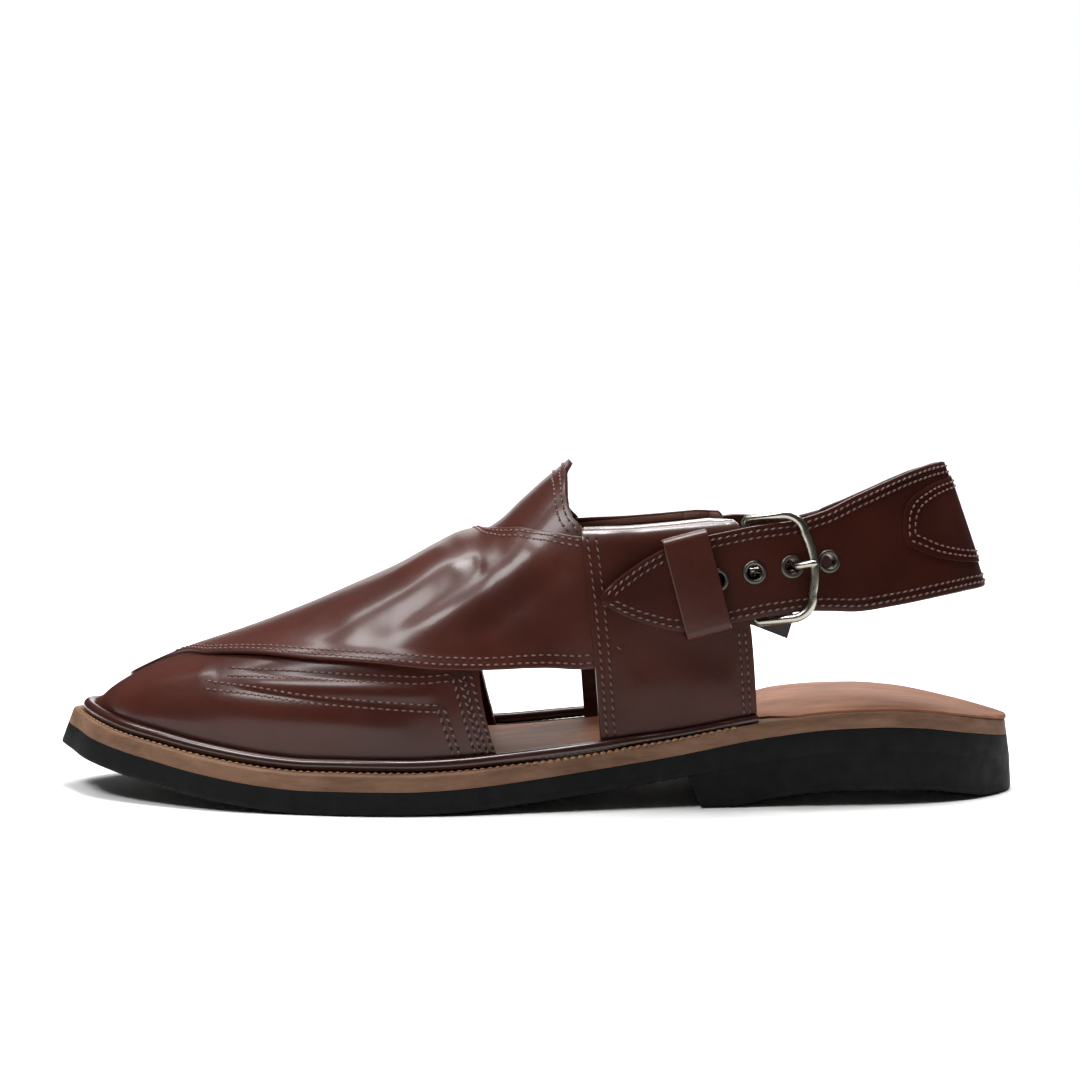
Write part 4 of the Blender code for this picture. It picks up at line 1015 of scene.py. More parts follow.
def quarter_front(z, side):
    base = bed(x_of(QUARTER_FRONT))
    shift = INNER_FORWARD if side > 0 else 0
    return x_of(QUARTER_FRONT) + 0.0030 - 0.0048 * (z - base) / (COLLAR_HEIGHT - base) - shift


def quarter_rear(z):
    return x_of(QUARTER_REAR) + through(QUARTER_REAR_LINE)(z)


def quarter_top(x):
    front, rear = x_of(QUARTER_FRONT), x_of(QUARTER_REAR) - 0.0075
    share = (x - front) / (rear - front)
    return COLLAR_HEIGHT + np.interp(share, (0, 0.3, 0.7, 1, 1.2), (-0.0014, -0.0008, 0.0004, 0.0014, 0.0010))


def quarter_place(side, rows=64, columns=72):
    """x and z of every point of a quarter, as seen from the side."""
    across = np.linspace(0, 1, columns)[None, :]
    up = np.linspace(0, 1, rows)[:, None]
    top = quarter_top(x_of(QUARTER_FRONT) + across * (x_of(QUARTER_REAR) - x_of(QUARTER_FRONT)))
    x = None
    z = 0.018 + (top - 0.018) * up
    for _ in range(3):
        x = quarter_front(z, side) + (quarter_rear(z) - quarter_front(z, side)) * across
        base = bed(x) - 0.0005
        z = base + (top - base) * up
    return x, z


def quarter_points(side, x, z, out):
    angle = last_angle(x)
    turn = turn_at(angle, np.maximum(z, bed(x)), side)
    return on_last(angle, turn, out, 0.0002)


# Offset of a quarter's rear edge by height.
QUARTER_REAR_LINE = (
    (0.0050, 0.0006),
    (0.0260, 0.0),
    (0.0500, -0.0016),
    (0.0620, -0.0036),
    (0.0810, -0.0048),
    (0.0836, -0.0075),
)
QUARTER_FOLDS = ((((22.0, 32.0), (40.0, 36.0), (60.0, 34.0)), 7.0, 0.5),)
QUARTER_ROLL = 0.0052
QUARTER_ROLL_DEPTH = 0.80


def collar_roll(x, z):
    """How far the top of a quarter rolls in over the foot."""
    below = np.clip(quarter_top(x) - z, 0, QUARTER_ROLL)
    return QUARTER_ROLL_DEPTH * (QUARTER_ROLL - np.sqrt(QUARTER_ROLL**2 - (QUARTER_ROLL - below) ** 2))


def make_quarter(side, name):
    """A quarter in two layers, the outer one lapped over the end of the band."""
    x, z = quarter_place(side)
    base = quarter_offset(x)
    soft = -collar_roll(x, z)
    if side < 0:
        for line, width, depth in QUARTER_FOLDS:
            soft += fold(np.stack([x, 0 * x, z], -1), line, width, depth)
    places = quarter_points(side, x, z, base - QUARTER_WALL + soft)
    out = quarter_normals(side, x, z)
    piece = leather_sheet(name, places, out, QUARTER_WALL, 0.0004)
    dress(piece, "upper", [QUARTER_LEATHER, QUARTER_LEATHER])
    inset = x + np.where(x > x_of(0.66), -0.0003, 0.0004)
    low = z - 0.0012 * ease((z - 0.04) / 0.04)
    places = quarter_points(side, inset, low, 0.0001 - collar_roll(inset, low + 0.0012))
    lining = leather_sheet(name + "_lining", places, out, VAMP_WALL - 0.0001, 0.0003)
    dress(lining, "upper", [LINING, EDGE])


def rand_distance(share, side):
    front = VAMP_WALL if side < 0 else VAMP_WALL + BAND_WALL / 2
    rear = VAMP_WALL + QUARTER_WALL
    lap = SEAM_SWELL * ease((share - WINDOW_FRONT) / 0.08) * (1 - ease((share - QUARTER_FRONT) / 0.05))
    return front + (rear - front) * ease((share - WINDOW_FRONT) / 0.08) + lap + 0.0001


def rand_line(extra=0.0, count=200, rear=QUARTER_REAR):
    """Points on the bead's path round the toe, moved out by extra; also their radii."""
    angles = np.linspace(0.01, float(last_angle(x_of(rear))), count)
    share = share_of(last_x(angles))
    radius = RAND_RADIUS + (RAND_REAR_RADIUS - RAND_RADIUS) * ease((share - 0.50) / 0.18)
    legs = []
    for side in (-1, 1):
        out = rand_distance(share, side) + GAP + radius + extra
        leg = on_last(angles, np.full(count, float(side)), out)
        leg[:, 2] = bed(leg[:, 0]) + radius
        legs.append(leg)
    path, thick = np.concatenate([legs[0][::-1], legs[1]]), np.concatenate([radius[::-1], radius])
    run = run_of(path)
    marks = np.linspace(0, run[-1], 2 * count)
    path = np.stack([np.interp(marks, run, path[:, i]) for i in range(3)], -1)
    thick = np.interp(marks, run, thick)
    share = (1 - ease((path[:, 0] - LAST_START - 0.006) / 0.012))[:, None]
    for _ in range(60):
        middle = np.concatenate([path[:1], (path[:-2] + path[2:]) / 2, path[-1:]])
        path = path + (middle - path) * 0.5 * share
    return path, thick


def make_rand():
    points, radius = rand_line()
    piece = rod_piece("rolled_rand", points, radius, 18)
    dress(piece, "rand", [BEAD])


# Heel strap


def face_y(x, z, side, out):
    angle = last_angle(x)
    return float(on_last(angle, turn_at(angle, z, side), out)[..., 1])


def strap_rows():
    rear, rows = x_of(QUARTER_REAR), []
    half = STRAP_THICKNESS / 2
    leather = VAMP_WALL + QUARTER_WALL
    lean = STRAP_FREE[0][3]
    for share, width, height in STRAP_POINT:
        x, z = x_of(STRAP_TIP) + share * STRAP_TIP_LENGTH, height * INSTEP_HEIGHT
        lift = GAP + 0.0003 + (STRAP_CLEARANCE - GAP - 0.0003) * float(ease(share))
        y = face_y(x, z, -1, quarter_offset(x)) - lift - half
        rows.append((x, y, z, lean, width * STRAP_WIDTH))
    point_end = x_of(STRAP_TIP) + STRAP_TIP_LENGTH
    for share, height in STRAP_HELD:
        x, z = point_end + share * (rear - point_end), height * INSTEP_HEIGHT
        rows.append((x, face_y(x, z, -1, leather) - STRAP_CLEARANCE - half, z, lean, STRAP_WIDTH))
    height = STRAP_FREE[0][2] * INSTEP_HEIGHT
    for side in (-1, 1):
        lift = STRAP_CLEARANCE if side < 0 else GAP + 0.0003
        out = abs(face_y(rear, height, side, leather)) + lift + half
        leg = []
        for share, reach, high, tilt, broad in STRAP_FREE:
            x = rear + share * (x_of(STRAP_BACK) - rear)
            width = STRAP_WIDTH + broad * (STRAP_BACK_WIDTH - STRAP_WIDTH)
            drop = STRAP_INNER_DROP * math.sin(math.pi * share) if side > 0 else 0
            leg.append((x, side * reach * out, high * INSTEP_HEIGHT - drop, tilt, width))
        rows += leg if side < 0 else leg[-2::-1]
    for share, height in STRAP_SEWN_LINE:
        x, z = x_of(STRAP_SEWN) + share * (rear - x_of(STRAP_SEWN)), height * INSTEP_HEIGHT
        rows.append((x, face_y(x, z, 1, leather) + GAP + 0.0003 + half, z, lean, STRAP_WIDTH))
    return np.array(rows)


STRAP_ROWS = strap_rows()
STRAP_RUN = run_of(STRAP_ROWS[:, :3])
STRAP_LINES = [smooth(STRAP_RUN, STRAP_ROWS[:, i]) for i in range(5)]
STRAP_BACK_RUN = STRAP_RUN[len(STRAP_POINT) + len(STRAP_HELD) + len(STRAP_FREE) - 1]


def strap_frame(at):
    """Middle, direction along, up and out, and width of the strap at distances along it."""
    at = np.asarray(at, float)
    middle = np.stack([line(at) for line in STRAP_LINES[:3]], -1)
    before = np.stack([line(at - 0.0008) for line in STRAP_LINES[:3]], -1)
    after = np.stack([line(at + 0.0008) for line in STRAP_LINES[:3]], -1)
    ahead = unit(after - before)
    flat = unit(ahead * np.array([1.0, 1.0, 0.0]))
    out = np.stack([flat[..., 1], -flat[..., 0], 0 * flat[..., 0]], -1)
    lean = np.radians(STRAP_LINES[3](at))[..., None]
    up = unit(np.array([0, 0, 1.0]) * np.cos(lean) - out * np.sin(lean))
    up = unit(up - ahead * (up * ahead).sum(-1, keepdims=True))
    return middle, ahead, up, unit(np.cross(ahead, up)), STRAP_LINES[4](at)


def strap_run(x):
    tries = np.linspace(0, STRAP_BACK_RUN, 4000)
    return float(np.interp(x, STRAP_LINES[0](tries), tries))


def strap_point(at, drop, out):
    """Points on the strap: distance along, share of the width below its upper edge, out."""
    middle, _, up, outward, width = strap_frame(at)
    drop, out = np.asarray(drop, float), np.asarray(out, float)
    return middle + up * (width * (0.5 - drop))[..., None] + outward * out[..., None]


def cut_hole(piece, place, radius):
    """Cuts a round hole through a piece, square to its face."""
    bpy.ops.object.select_all(action="DESELECT")
    bpy.ops.mesh.primitive_cylinder_add(vertices=40, radius=radius, depth=0.009)
    punch = bpy.context.object
    punch.matrix_world = place
    bpy.context.view_layer.update()
    cut = piece.modifiers.new("hole", "BOOLEAN")
    cut.operation = "DIFFERENCE"
    cut.object = punch
    cut.solver = "EXACT"
    apply_all(piece)
    bpy.data.objects.remove(punch, do_unlink=True)


def hole_x(index):
    """Where a hole lies: the third is the prong's, behind the buckle's bar."""
    return x_of(BAR) + PRONG_HOLE + (index - 2) * EYELET_SPACING


def strap_matrix(at):
    middle, ahead, up, out, _ = strap_frame(at)
    turned = Matrix((ahead, up, out)).transposed().to_4x4()
    return Matrix.Translation(Vector(middle)) @ turned


def make_strap():
    """Sling strap of two leathers sewn together, lightly crowned, with eased edges."""
    marks = np.concatenate([[0.0001, 0.0006, 0.0014, 0.0026], np.linspace(0.0042, STRAP_RUN[-1], 260)])
    rings = []
    half = STRAP_THICKNESS / 2
    for at, wide in zip(marks, strap_frame(marks)[4]):
        soft = min(STRAP_EDGE, wide * 0.2) / wide
        edge = [(0.0, 0.55 * half), (soft * 0.3, 0.85 * half), (soft, half)]
        ring = edge + [(t, half + STRAP_CROWN * math.sin(math.pi * t)) for t in np.linspace(0.08, 0.92, 9)]
        ring += [(1 - low, depth) for low, depth in edge[::-1]]
        ring += [(low, -depth) for low, depth in ring[::-1]]
        drops, outs = np.array(ring).T
        rings.append(strap_point(np.full(len(ring), at), drops, outs))
    piece = ring_piece("sling_strap", rings)
    for i in range(EYELET_COUNT):
        at = strap_run(hole_x(i))
        cut_hole(piece, strap_matrix(at), EYELET_BORE_RADIUS + EYELET_SHEET + 0.00005)
    dress(piece, "heel_strap", [STRAP_LEATHER])


def make_eyelets():
    """Rolled eyelets: a tube through the strap with a rounded flange on each face."""
    bore, wide = EYELET_BORE_RADIUS, EYELET_FLANGE_RADIUS
    half = STRAP_THICKNESS / 2 + 0.0002
    profile = []
    for side in (-1, 1):
        arc = []
        for i in range(9):
            bend = math.pi * i / 8
            radius = (bore + wide) / 2 - math.cos(bend) * (wide - bore) / 2
            arc.append((radius, side * (half + EYELET_ROLL * math.sin(bend))))
        profile += arc[::-1] if side < 0 else arc
    tube = bore + EYELET_SHEET
    profile += [(tube, half - 0.0001), (tube, -half + 0.0001)]
    for i in range(EYELET_COUNT):
        place = strap_matrix(strap_run(hole_x(i)))
        rings = []
        for k in range(36):
            spin = 2 * math.pi * k / 36
            ring = [place @ Vector((r * math.cos(spin), r * math.sin(spin), h)) for r, h in profile]
            rings.append([tuple(point) for point in ring])
        name = f"eyelet_{i + 1}"
        dress(ring_piece("rolled_" + name, rings, True), name, [GUNMETAL])


def patch_edges(reach):
    return [through(PATCH_OUTLINE, column)(np.abs(reach)) for column in (1, 2)]


def make_patch():
    """Leaf-shaped patch at the back of the heel, skived thin at its edge."""
    reach = PATCH_OUTLINE[-1][0] * np.sin(np.linspace(-0.5, 0.5, 81) * math.pi)
    top, bottom = patch_edges(reach)
    share = np.linspace(0, 1, 25)
    drops = top[:, None] + (bottom - top)[:, None] * share[None, :]
    at = STRAP_BACK_RUN + np.repeat(reach[:, None], 25, 1) * STRAP_BACK_WIDTH
    places = strap_point(at, drops, np.full(drops.shape, STRAP_THICKNESS / 2 - 0.0003))
    piece = leather_sheet("heel_leaf_patch", places, strap_frame(at)[3], HEEL_PATCH_THICKNESS, 0.0004)
    dress(piece, "heel_patch", [STRAP_LEATHER, STRAP_LEATHER])


def make_keeper():
    """Plain leather loop round the strap, its corners softly folded."""
    at = strap_run(x_of(KEEPER))
    middle, ahead, up, out, width = strap_frame(at)
    half_w, half_t = width / 2 + 2 * GAP, STRAP_THICKNESS / 2 + EYELET_SHEET + 2 * GAP
    corner = KEEPER_CORNER
    loop = []
    for side_w, side_t, start in ((1, 1, 0), (-1, 1, 90), (-1, -1, 180), (1, -1, 270)):
        for i in range(7):
            bend = math.radians(start + 90 * i / 6)
            centre = (side_w * (half_w - corner), side_t * (half_t - corner))
            loop.append((centre, math.cos(bend), math.sin(bend)))
        if side_w * side_t > 0:
            for i in range(1, 6):
                share = i / 6
                low = side_w * (half_w - corner) * (1 - 2 * share)
                loop.append(((low, side_t * (half_t - corner)), 0.0, float(side_t)))
    rounded, outer = 0.0003, corner + KEEPER_THICKNESS + 0.0001
    edge = 0.5 - rounded / KEEPER_WIDTH
    ring = [(corner, -0.5), (corner, 0.5), (outer - rounded, 0.5), (outer, edge)]
    ring += [(outer + 0.0001, spread) for spread in (0.25, 0.0, -0.25)]
    ring += [(outer, -edge), (outer - rounded, -0.5)]
    rings = []
    for (high, deep), dw, dt in loop:
        bow = KEEPER_BOW * (1 - (high / half_w) ** 2) if deep > 0 else 0
        points = []
        for radius, spread in ring:
            point = middle + up * (high + dw * radius) + out * (deep + dt * radius + bow)
            points.append(point + ahead * KEEPER_WIDTH * spread)
        rings.append(points)
    dress(ring_piece("leather_keeper", rings, True), "keeper_loop", [LEATHER])


def buckle_axes():
    height = float(STRAP_LINES[2](strap_run(x_of(BAR))))
    bar = np.array([x_of(BAR), face_y(x_of(BAR), height, -1, (VAMP_WALL + QUARTER_WALL) / 2), height])
    reach = FRAME_LENGTH - 2 * FRAME_WIRE_RADIUS
    far, _, far_up, far_out, _ = strap_frame(strap_run(x_of(BAR) + reach - 0.0004))
    far = far + far_out * (STRAP_THICKNESS / 2 + FRAME_WIRE_RADIUS + FRAME_LIFT)
    towards = unit(far - bar)
    up = unit(far_up - towards * np.dot(far_up, towards))
    return bar, towards, up, unit(np.cross(towards, up))


def make_buckle():
    """Cast frame with a bowed far side, and the prong that rests on it."""
    bar, towards, up, out = buckle_axes()
    reach = FRAME_LENGTH - 2 * FRAME_WIRE_RADIUS
    half = FRAME_HEIGHT / 2 - FRAME_WIRE_RADIUS
    side = [(0.0, half * i / 6) for i in range(6)]
    small_corner = ((0.0, 0.0012), (0.0001, 0.0007), (0.0004, 0.0004), (0.0007, 0.0001), (0.0012, 0.0))
    side += [(ahead, half - down) for ahead, down in small_corner]
    side += [(0.004, half), (0.007, half)]
    turn_x, turn_z = reach - FRAME_BOW - FRAME_CORNER, half - FRAME_CORNER
    for i in range(15):
        bend = math.pi / 2 * (1 - i / 14)
        side.append((turn_x + FRAME_CORNER * math.cos(bend), turn_z + FRAME_CORNER * math.sin(bend)))
    for high in (0.85, 0.7, 0.5, 0.33, 0.16):
        side.append((reach - FRAME_BOW * high**2, turn_z * high))
    side.append((reach, 0.0))
    loop = side + [(a, -b) for a, b in side[-2:0:-1]]
    points = []
    for ahead, high in loop:
        arch = out * FRAME_ARCH * math.sin(math.pi * ahead / reach)
        points.append(bar + towards * ahead + up * high + arch)
    dress(rod_piece("buckle_ring", points, FRAME_WIRE_RADIUS, 18, True), "buckle_frame", [NICKEL])
    ring = FRAME_WIRE_RADIUS + GAP * 0.6 + PRONG_RADIUS
    turns = [math.radians(-110 + 200 * i / 20) for i in range(21)]
    path = [bar + towards * ring * math.cos(turn) + out * ring * math.sin(turn) for turn in turns]
    hole, ahead, _, strap_out, _ = strap_frame(strap_run(hole_x(2)))
    below = STRAP_THICKNESS / 2 + EYELET_SHEET + 2 * GAP + PRONG_RADIUS
    through_hole = ((-0.0030, -below), (-0.0013, 0.0003 - below), (0.0005, 0.0008), (0.0013, below + 0.0001))
    knots = [path[-1]] + [hole + ahead * a + strap_out * b for a, b in through_hole]
    rest = FRAME_WIRE_RADIUS + PRONG_RADIUS + GAP * 0.3
    knots += [bar + towards * (reach + a) + out * (rest - b) for a, b in ((-0.0010, 0.0), (0.0014, 0.0001))]
    knots = np.array(knots)
    run = run_of(knots)
    lines = [smooth(run, knots[:, i]) for i in range(3)]
    marks = np.linspace(0, run[-1], 50)[1:]
    path += list(np.stack([line(marks) for line in lines], -1))
    radii = np.full(len(path), PRONG_RADIUS)
    radii[-4:] = PRONG_RADIUS * np.array([0.99, 0.93, 0.80, 0.45])
    dress(rod_piece("buckle_tongue", path, radii, 16), "buckle_prong", [NICKEL])


# Thread


def stitch_shape():
    """One stitch, modelled once: a short round-ended thread bowed out of the leather."""
    bpy.ops.object.select_all(action="DESELECT")
    bpy.ops.mesh.primitive_uv_sphere_add(segments=6, ring_count=6, radius=1.0)
    piece = bpy.context.object
    places = np.array([tuple(v.co.zxy) for v in piece.data.vertices])
    faces = [tuple(f.vertices) for f in piece.data.polygons]
    bpy.data.objects.remove(piece, do_unlink=True)
    return places, faces


STITCH, STITCH_FACES = stitch_shape()
THREADS = {"thread": ([], []), "ledge": ([], []), "holes": ([], [])}


def add_copies(kind, shape, faces, origins, ahead, across, out):
    """Adds copies of a small shape, each turned to its own directions."""
    points, polygons = THREADS[kind]
    base = sum(len(p) for p in points)
    for o, a, b, c in zip(origins, ahead, across, out):
        points.append(o + shape[:, :1] * a + shape[:, 1:2] * b + shape[:, 2:3] * c)
        polygons.extend(tuple(i + base for i in face) for face in faces)
        base += len(shape)


def sew(
    line, out, kind="thread", pitch=STITCH_PITCH, radius=STITCH_RADIUS, fill=0.66, slant=0.0, holes=True
):
    """Stitches along a line of places with outward directions, each between two needle holes."""
    line, out = np.asarray(line), np.asarray(out)
    run = run_of(line)
    count = max(int(run[-1] / pitch), 1)
    half = pitch * fill / 2

    def read(rows, marks):
        return np.stack([np.interp(marks, run, rows[:, i]) for i in range(3)], -1)

    def directions(marks):
        """Ahead, across and out at marks along the line."""
        before, after = np.maximum(marks - half, 0), np.minimum(marks + half, run[-1])
        ahead = unit(read(line, after) - read(line, before))
        across = unit(np.cross(unit(read(out, marks)), ahead))
        return ahead, across, unit(np.cross(ahead, across))

    marks = (np.arange(count) + 0.5) * run[-1] / count
    ahead, across, normal = directions(marks)
    ahead = unit(ahead + across * slant)
    shape = STITCH * np.array([half, radius, radius])
    shape[:, 2] += radius * 0.55 * (1 - (shape[:, 0] / half) ** 2) - radius * 0.15
    across = unit(np.cross(normal, ahead))
    add_copies(kind, shape, STITCH_FACES, read(line, marks), ahead, across, normal)
    # A near-black cone at each needle hole: painted shade of the hole.
    if holes:
        marks = np.arange(count + 1) * run[-1] / count
        hole = HOLE_SHAPE * np.array([radius * 1.6, radius * 1.5, radius * 0.40])
        add_copies("holes", hole, HOLE_FACES, read(line, marks), *directions(marks))


HOLE_SHAPE = np.array([(0, 0, 1.0)] + [(math.cos(a), math.sin(a), -0.3) for a in np.arange(6) * math.pi / 3])
HOLE_FACES = [(0, i + 1, (i + 1) % 6 + 1) for i in range(6)]


def sew_on_last(angle, turn, out, **settings):
    sew(on_last(angle, turn, out), last_normal(np.asarray(angle), np.asarray(turn)), **settings)


def sew_band():
    """Two rows along each edge of the crossing band."""
    angle, turn = band_place(400, 2)
    width = np.linalg.norm(last_point(angle[:, 0], turn[:, 0]) - last_point(angle[:, 1], turn[:, 1]), axis=1)
    for inset in (BAND_ROW, BAND_ROW + ROW_SPACING):
        for edge in (0, 1):
            share = np.abs(edge - np.clip(inset / width, 0, 0.4))
            a = angle[:, 0] * (1 - share) + angle[:, 1] * share
            t = turn[:, 0] * (1 - share) + turn[:, 1] * share
            out = band_out(a, t, share)
            keep = (last_x(a) < x_of(QUARTER_FRONT) + 0.0005) & (np.abs(t) < 0.9)
            keep &= ~((edge == 0) & (last_x(a) < x_of(0.12)))
            sew_on_last(a[keep], t[keep], out[keep] + 0.0001)


def side_line(rows, side, count=160):
    """A line drawn on one side of the last through (x, z) places in millimetres."""
    rows = np.array(rows, float) * MM
    run = run_of(rows)
    marks = np.linspace(0, run[-1], count)
    x, z = smooth(run, rows[:, 0])(marks), smooth(run, rows[:, 1])(marks)
    angle = last_angle(x)
    return angle, turn_at(angle, z, side)


def sew_vamp():
    """Double rows on the outer forefoot: two along it, three down to the bead."""
    half = ROW_SPACING / 2
    rows = [(ROW_ALONG_HIGH, (0, half)), (ROW_ALONG_LOW, (0, half))]
    rows += [(row, (half, 0)) for row in (ROW_DOWN_FRONT, ROW_DOWN_MIDDLE, ROW_DOWN_REAR)]
    for row, shift in rows:
        for side in (-1, 1):
            angle, turn = side_line(np.array(row) + np.array(shift) * side / MM, -1)
            out = VAMP_WALL + vamp_relief(angle, turn) + PROUD
            if shift[0] > 0:
                sew_on_last(angle, turn, out, slant=DOWN_SLANT * side, radius=DOWN_RADIUS)
            else:
                sew_on_last(angle, turn, out)


def sew_tongue():
    """Two rows along the tongue's free edge."""
    turns = np.linspace(-0.60, 0.60, 240)
    ends = vamp_angles(turns)
    smoothed = np.convolve(np.pad(ends, 4, mode="edge"), np.ones(9) / 9, "valid")
    for inset in (TONGUE_ROW, TONGUE_ROW + ROW_SPACING):
        shift = inset * (1 + 0.5 * np.exp(-((turns / 0.12) ** 2)))
        angle = last_angle(last_x(smoothed) - shift)
        points = last_point(angle, turns)
        keep = points[:, 2] > COLLAR_HEIGHT - 0.0025
        sew_on_last(angle[keep], turns[keep], np.full(keep.sum(), VAMP_WALL + PROUD))


def sew_quarter(side, x, z, proud=PROUD, **settings):
    places = quarter_points(side, x, z, quarter_offset(x) + proud)
    sew(places, quarter_normals(side, x, z), **settings)


def sew_quarters():
    """Two rows down the front and two down the rear edge of each quarter, and a stray stitch."""
    z = np.linspace(0.0215, COLLAR_HEIGHT - 0.0045, 120)
    for side in (-1, 1):
        for inset in (FRONT_ROW, FRONT_ROW + FRONT_ROW_SPACING):
            sew_quarter(side, quarter_front(z, side) + inset, z, slant=FRONT_SLANT)
        low = z[z < (0.052 if side < 0 else 0.0815)]
        for inset in (REAR_ROW, REAR_ROW + ROW_SPACING):
            sew_quarter(side, quarter_rear(low) - inset, low)
    sew_quarter(-1, np.array([0.0232, 0.0246]), np.array([0.0472, 0.0464]), 2 * PROUD, holes=False)


def quarter_normals(side, x, z):
    angle = last_angle(x)
    return last_normal(angle, turn_at(angle, z, side))


def sew_on_strap(at, drop, out, **settings):
    sew(strap_point(at, drop, np.full(at.shape, out)), strap_frame(at)[3], **settings)


def sew_strap():
    """Two rows along the strap's edges, across its sewn end and round the patch."""
    half = STRAP_THICKNESS / 2
    for inset in (STRAP_ROW, STRAP_ROW + ROW_SPACING):
        at = np.linspace(0.0004 + inset, STRAP_RUN[-1] - 0.002, 900)
        share = np.minimum(inset / strap_frame(at)[4], 0.5)
        for drop in (share, 1 - share):
            sew_on_strap(at, drop, half + 0.00012, slant=STRAP_SLANT)
    share = np.linspace(0.07, 0.93, 40)
    for inset in (STRAP_END_ROW, STRAP_END_ROW + ROW_SPACING):
        at = np.full(share.shape, STRAP_RUN[-1] - inset)
        sew_on_strap(at, share, half + 0.00025, slant=STRAP_SLANT)
    edge = PATCH_OUTLINE[-1][0]
    for inset in (PATCH_ROW, PATCH_ROW + PATCH_ROW_SPACING):
        reach = (edge - inset / STRAP_BACK_WIDTH * 1.3) * np.sin(np.linspace(-0.5, 0.5, 300) * math.pi)
        top, bottom = patch_edges(reach / (1 - inset / STRAP_BACK_WIDTH * 1.2))
        share = inset / STRAP_BACK_WIDTH
        at = STRAP_BACK_RUN + reach * STRAP_BACK_WIDTH
        for drop in (top + share, bottom - share):
            sew_on_strap(at, drop, half + HEEL_PATCH_THICKNESS - 0.0002, holes=False)


def sew_ledge():
    """Thick gold thread that holds the midsole, along the ledge outside the bead."""
    points, radius = rand_line(0.0, 260, 0.70)
    flat = np.gradient(points, axis=0)
    outward = unit(np.stack([-flat[:, 1], flat[:, 0], 0 * flat[:, 0]], -1))
    middle = points.mean(0)
    outward = np.where(((points - middle) * outward).sum(-1, keepdims=True) < 0, -outward, outward)
    line = points + outward * (radius + LEDGE_ROW)[:, None]
    line[:, 2] = bed(line[:, 0]) - 0.0002
    keep = np.concatenate([[True], np.linalg.norm(np.diff(line, axis=0), axis=1) > 0.0001])
    up = np.repeat(np.array([[0, 0, 1.0]]), keep.sum(), 0)
    settings = {"pitch": LEDGE_PITCH, "radius": LEDGE_RADIUS, "fill": 0.84, "slant": 0.20, "holes": False}
    sew(line[keep], up, "ledge", **settings)


def finish_threads():
    """Joins each kind of thread into one mesh."""
    for kind, name, node, material in (
        ("thread", "upper_stitches", "upper", THREAD),
        ("ledge", "ledge_stitches", "midsole", LEDGE_THREAD),
        # The needle hole cones carry painted shade.
        ("holes", "needle_holes", "upper", NEEDLE_HOLE_SHADE),
    ):
        points, faces = THREADS[kind]
        mesh = bpy.data.meshes.new(name)
        mesh.from_pydata([tuple(p) for p in np.concatenate(points)], [], faces)
        piece = bpy.data.objects.new(name, mesh)
        bpy.context.scene.collection.objects.link(piece)
        mesh.shade_smooth()
        dress(piece, node, [material], replaces=False)


# Stage


def paper_sweep():
    """Matt white paper that fades out to the sides and towards the front."""
    material, tree, place = begin("matt_white_paper", "#f0f0ef", 0.9)
    parts = add_node(tree, "ShaderNodeSeparateXYZ", {"Vector": place})
    front = add_node(tree, "ShaderNodeMath", {0: parts.outputs["Y"], 1: 0.0}, operation="MINIMUM")
    spread = add_node(tree, "ShaderNodeCombineXYZ", {"X": parts.outputs["X"], "Y": front.outputs[0]})
    reach = add_node(tree, "ShaderNodeVectorMath", {0: spread.outputs[0]}, operation="LENGTH")
    levels = {"Value": reach.outputs["Value"], "From Min": 0.45, "From Max": 0.90, "To Min": 1.0, "To Max": 0.0}
    fade = add_node(tree, "ShaderNodeMapRange", levels, interpolation_type="SMOOTHSTEP")
    add_node(tree, "Principled BSDF", {"Alpha": fade.outputs[0]})
    return material


FLOOR_WIDTH = 9.0
FLOOR_RUN = 7.0
FLOOR_FRONT = -2.5
SWEEP_START = 1.6
SWEEP_RADIUS = 1.2
FLOOR_DROP = 0.0002
WORLD_LIGHT = 0.05
WORLD_SEEN = 1.10
CAMERA_PLACE = (0.0014, -0.650, 0.1188)
CAMERA_DOWN = 3.77
CAMERA_LENS = 70.77
# Soft boxes: name, place, what it points at, size in metres, watts.
LAMPS = (
    ("key_softbox", (-0.45, -0.32, 0.80), (-0.04, 0.0, 0.04), (0.34, 0.24), 5.0),
    ("top_softbox", (-0.06, 0.00, 1.10), (-0.04, 0.02, 0.0), (0.36, 0.24), 8.0),
    ("rear_softbox", (0.35, 0.75, 0.90), (0.0, 0.05, 0.05), (0.80, 0.40), 12.0),
    ("backdrop_light", (0.0, 0.60, 2.20), (0.0, 2.40, 0.60), (3.00, 0.80), 110.0),
)


def add_thing(name, data, place, turn):
    """A lamp or the camera, put in its place."""
    thing = bpy.data.objects.new(name, data)
    thing.location = place
    thing.rotation_euler = turn
    bpy.context.scene.collection.objects.link(thing)
    return thing


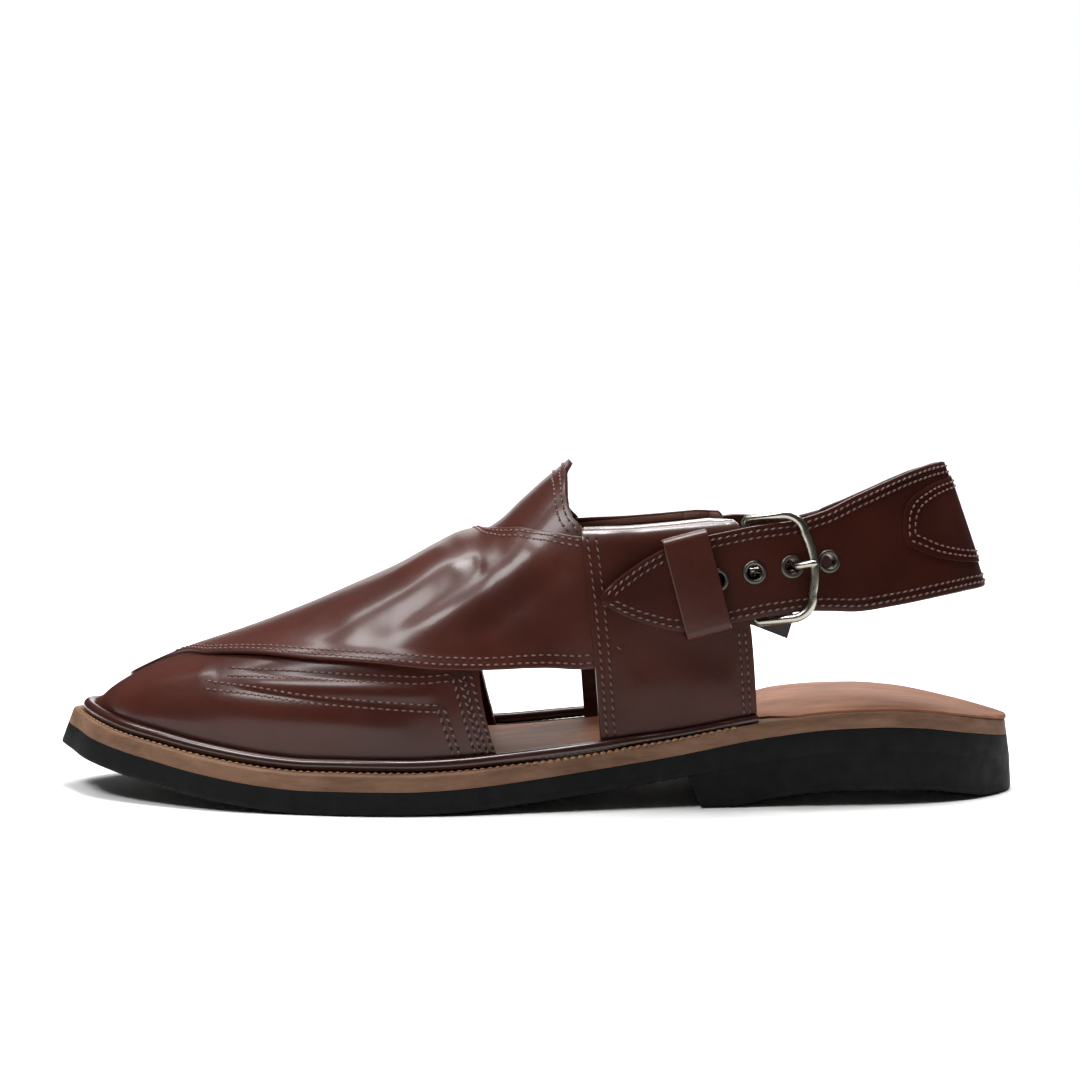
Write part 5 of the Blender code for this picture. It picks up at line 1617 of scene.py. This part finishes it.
def make_stage():
    """Pale floor that curves up behind, soft studio light, and the photograph's camera."""
    bpy.ops.object.select_all(action="DESELECT")
    bpy.ops.mesh.primitive_grid_add(x_subdivisions=2, y_subdivisions=60, size=1)
    floor = bpy.context.object
    floor.name = "studio_floor"
    for vertex in floor.data.vertices:
        run = (vertex.co.y + 0.5) * FLOOR_RUN + FLOOR_FRONT
        bend = min(max((run - SWEEP_START) / SWEEP_RADIUS, 0.0), math.pi / 2)
        past = max(run - SWEEP_START - SWEEP_RADIUS * math.pi / 2, 0.0)
        y = min(run, SWEEP_START) + SWEEP_RADIUS * math.sin(bend)
        z = SWEEP_RADIUS * (1 - math.cos(bend)) + past - FLOOR_DROP
        vertex.co = (vertex.co.x * FLOOR_WIDTH, y, z)
    bpy.ops.object.shade_smooth()
    floor.data.materials.append(paper_sweep())
    world = bpy.data.worlds.new("studio")
    world.use_nodes = True
    tree = world.node_tree
    seen = add_node(tree, "ShaderNodeLightPath", {}).outputs["Is Camera Ray"]
    levels = {"Value": seen, "To Min": WORLD_LIGHT, "To Max": WORLD_SEEN}
    level = add_node(tree, "ShaderNodeMapRange", levels).outputs[0]
    add_node(tree, "Background", {"Color": linear("#f4f4f4"), "Strength": level})
    bpy.context.scene.world = world
    for name, place, target, size, power in LAMPS:
        lamp = bpy.data.lights.new(name, "AREA")
        lamp.shape = "RECTANGLE"
        lamp.size, lamp.size_y = size
        lamp.energy = power
        aim = Vector(target) - Vector(place)
        add_thing(name, lamp, place, aim.to_track_quat("-Z", "Y").to_euler())
    lens = bpy.data.cameras.new("camera")
    lens.sensor_width = 36.0
    lens.lens = CAMERA_LENS
    lens.clip_start = 0.01
    tilt = (math.radians(90 - CAMERA_DOWN), 0, 0)
    bpy.context.scene.camera = add_thing("camera", lens, CAMERA_PLACE, tilt)
    bpy.context.scene.view_settings.view_transform = "Standard"


def dress_frame_nodes():
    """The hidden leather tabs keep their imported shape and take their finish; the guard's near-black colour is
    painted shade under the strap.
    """
    for name in ("buckle_chape", "buckle_guard"):
        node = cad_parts[name]
        node.data.materials.clear()
        node.data.materials.append(PAINTED_SHADE_GUARD if name == "buckle_guard" else STRAP_LEATHER)


make_outsole()
make_midsole()
make_heel()
make_insole()
make_vamp()
make_band()
make_quarter(-1, "outer_quarter")
make_quarter(1, "inner_quarter")
make_rand()
make_strap()
make_eyelets()
make_patch()
make_keeper()
make_buckle()
sew_band()
sew_vamp()
sew_tongue()
sew_quarters()
sew_strap()
sew_ledge()
finish_threads()
dress_frame_nodes()
make_stage()
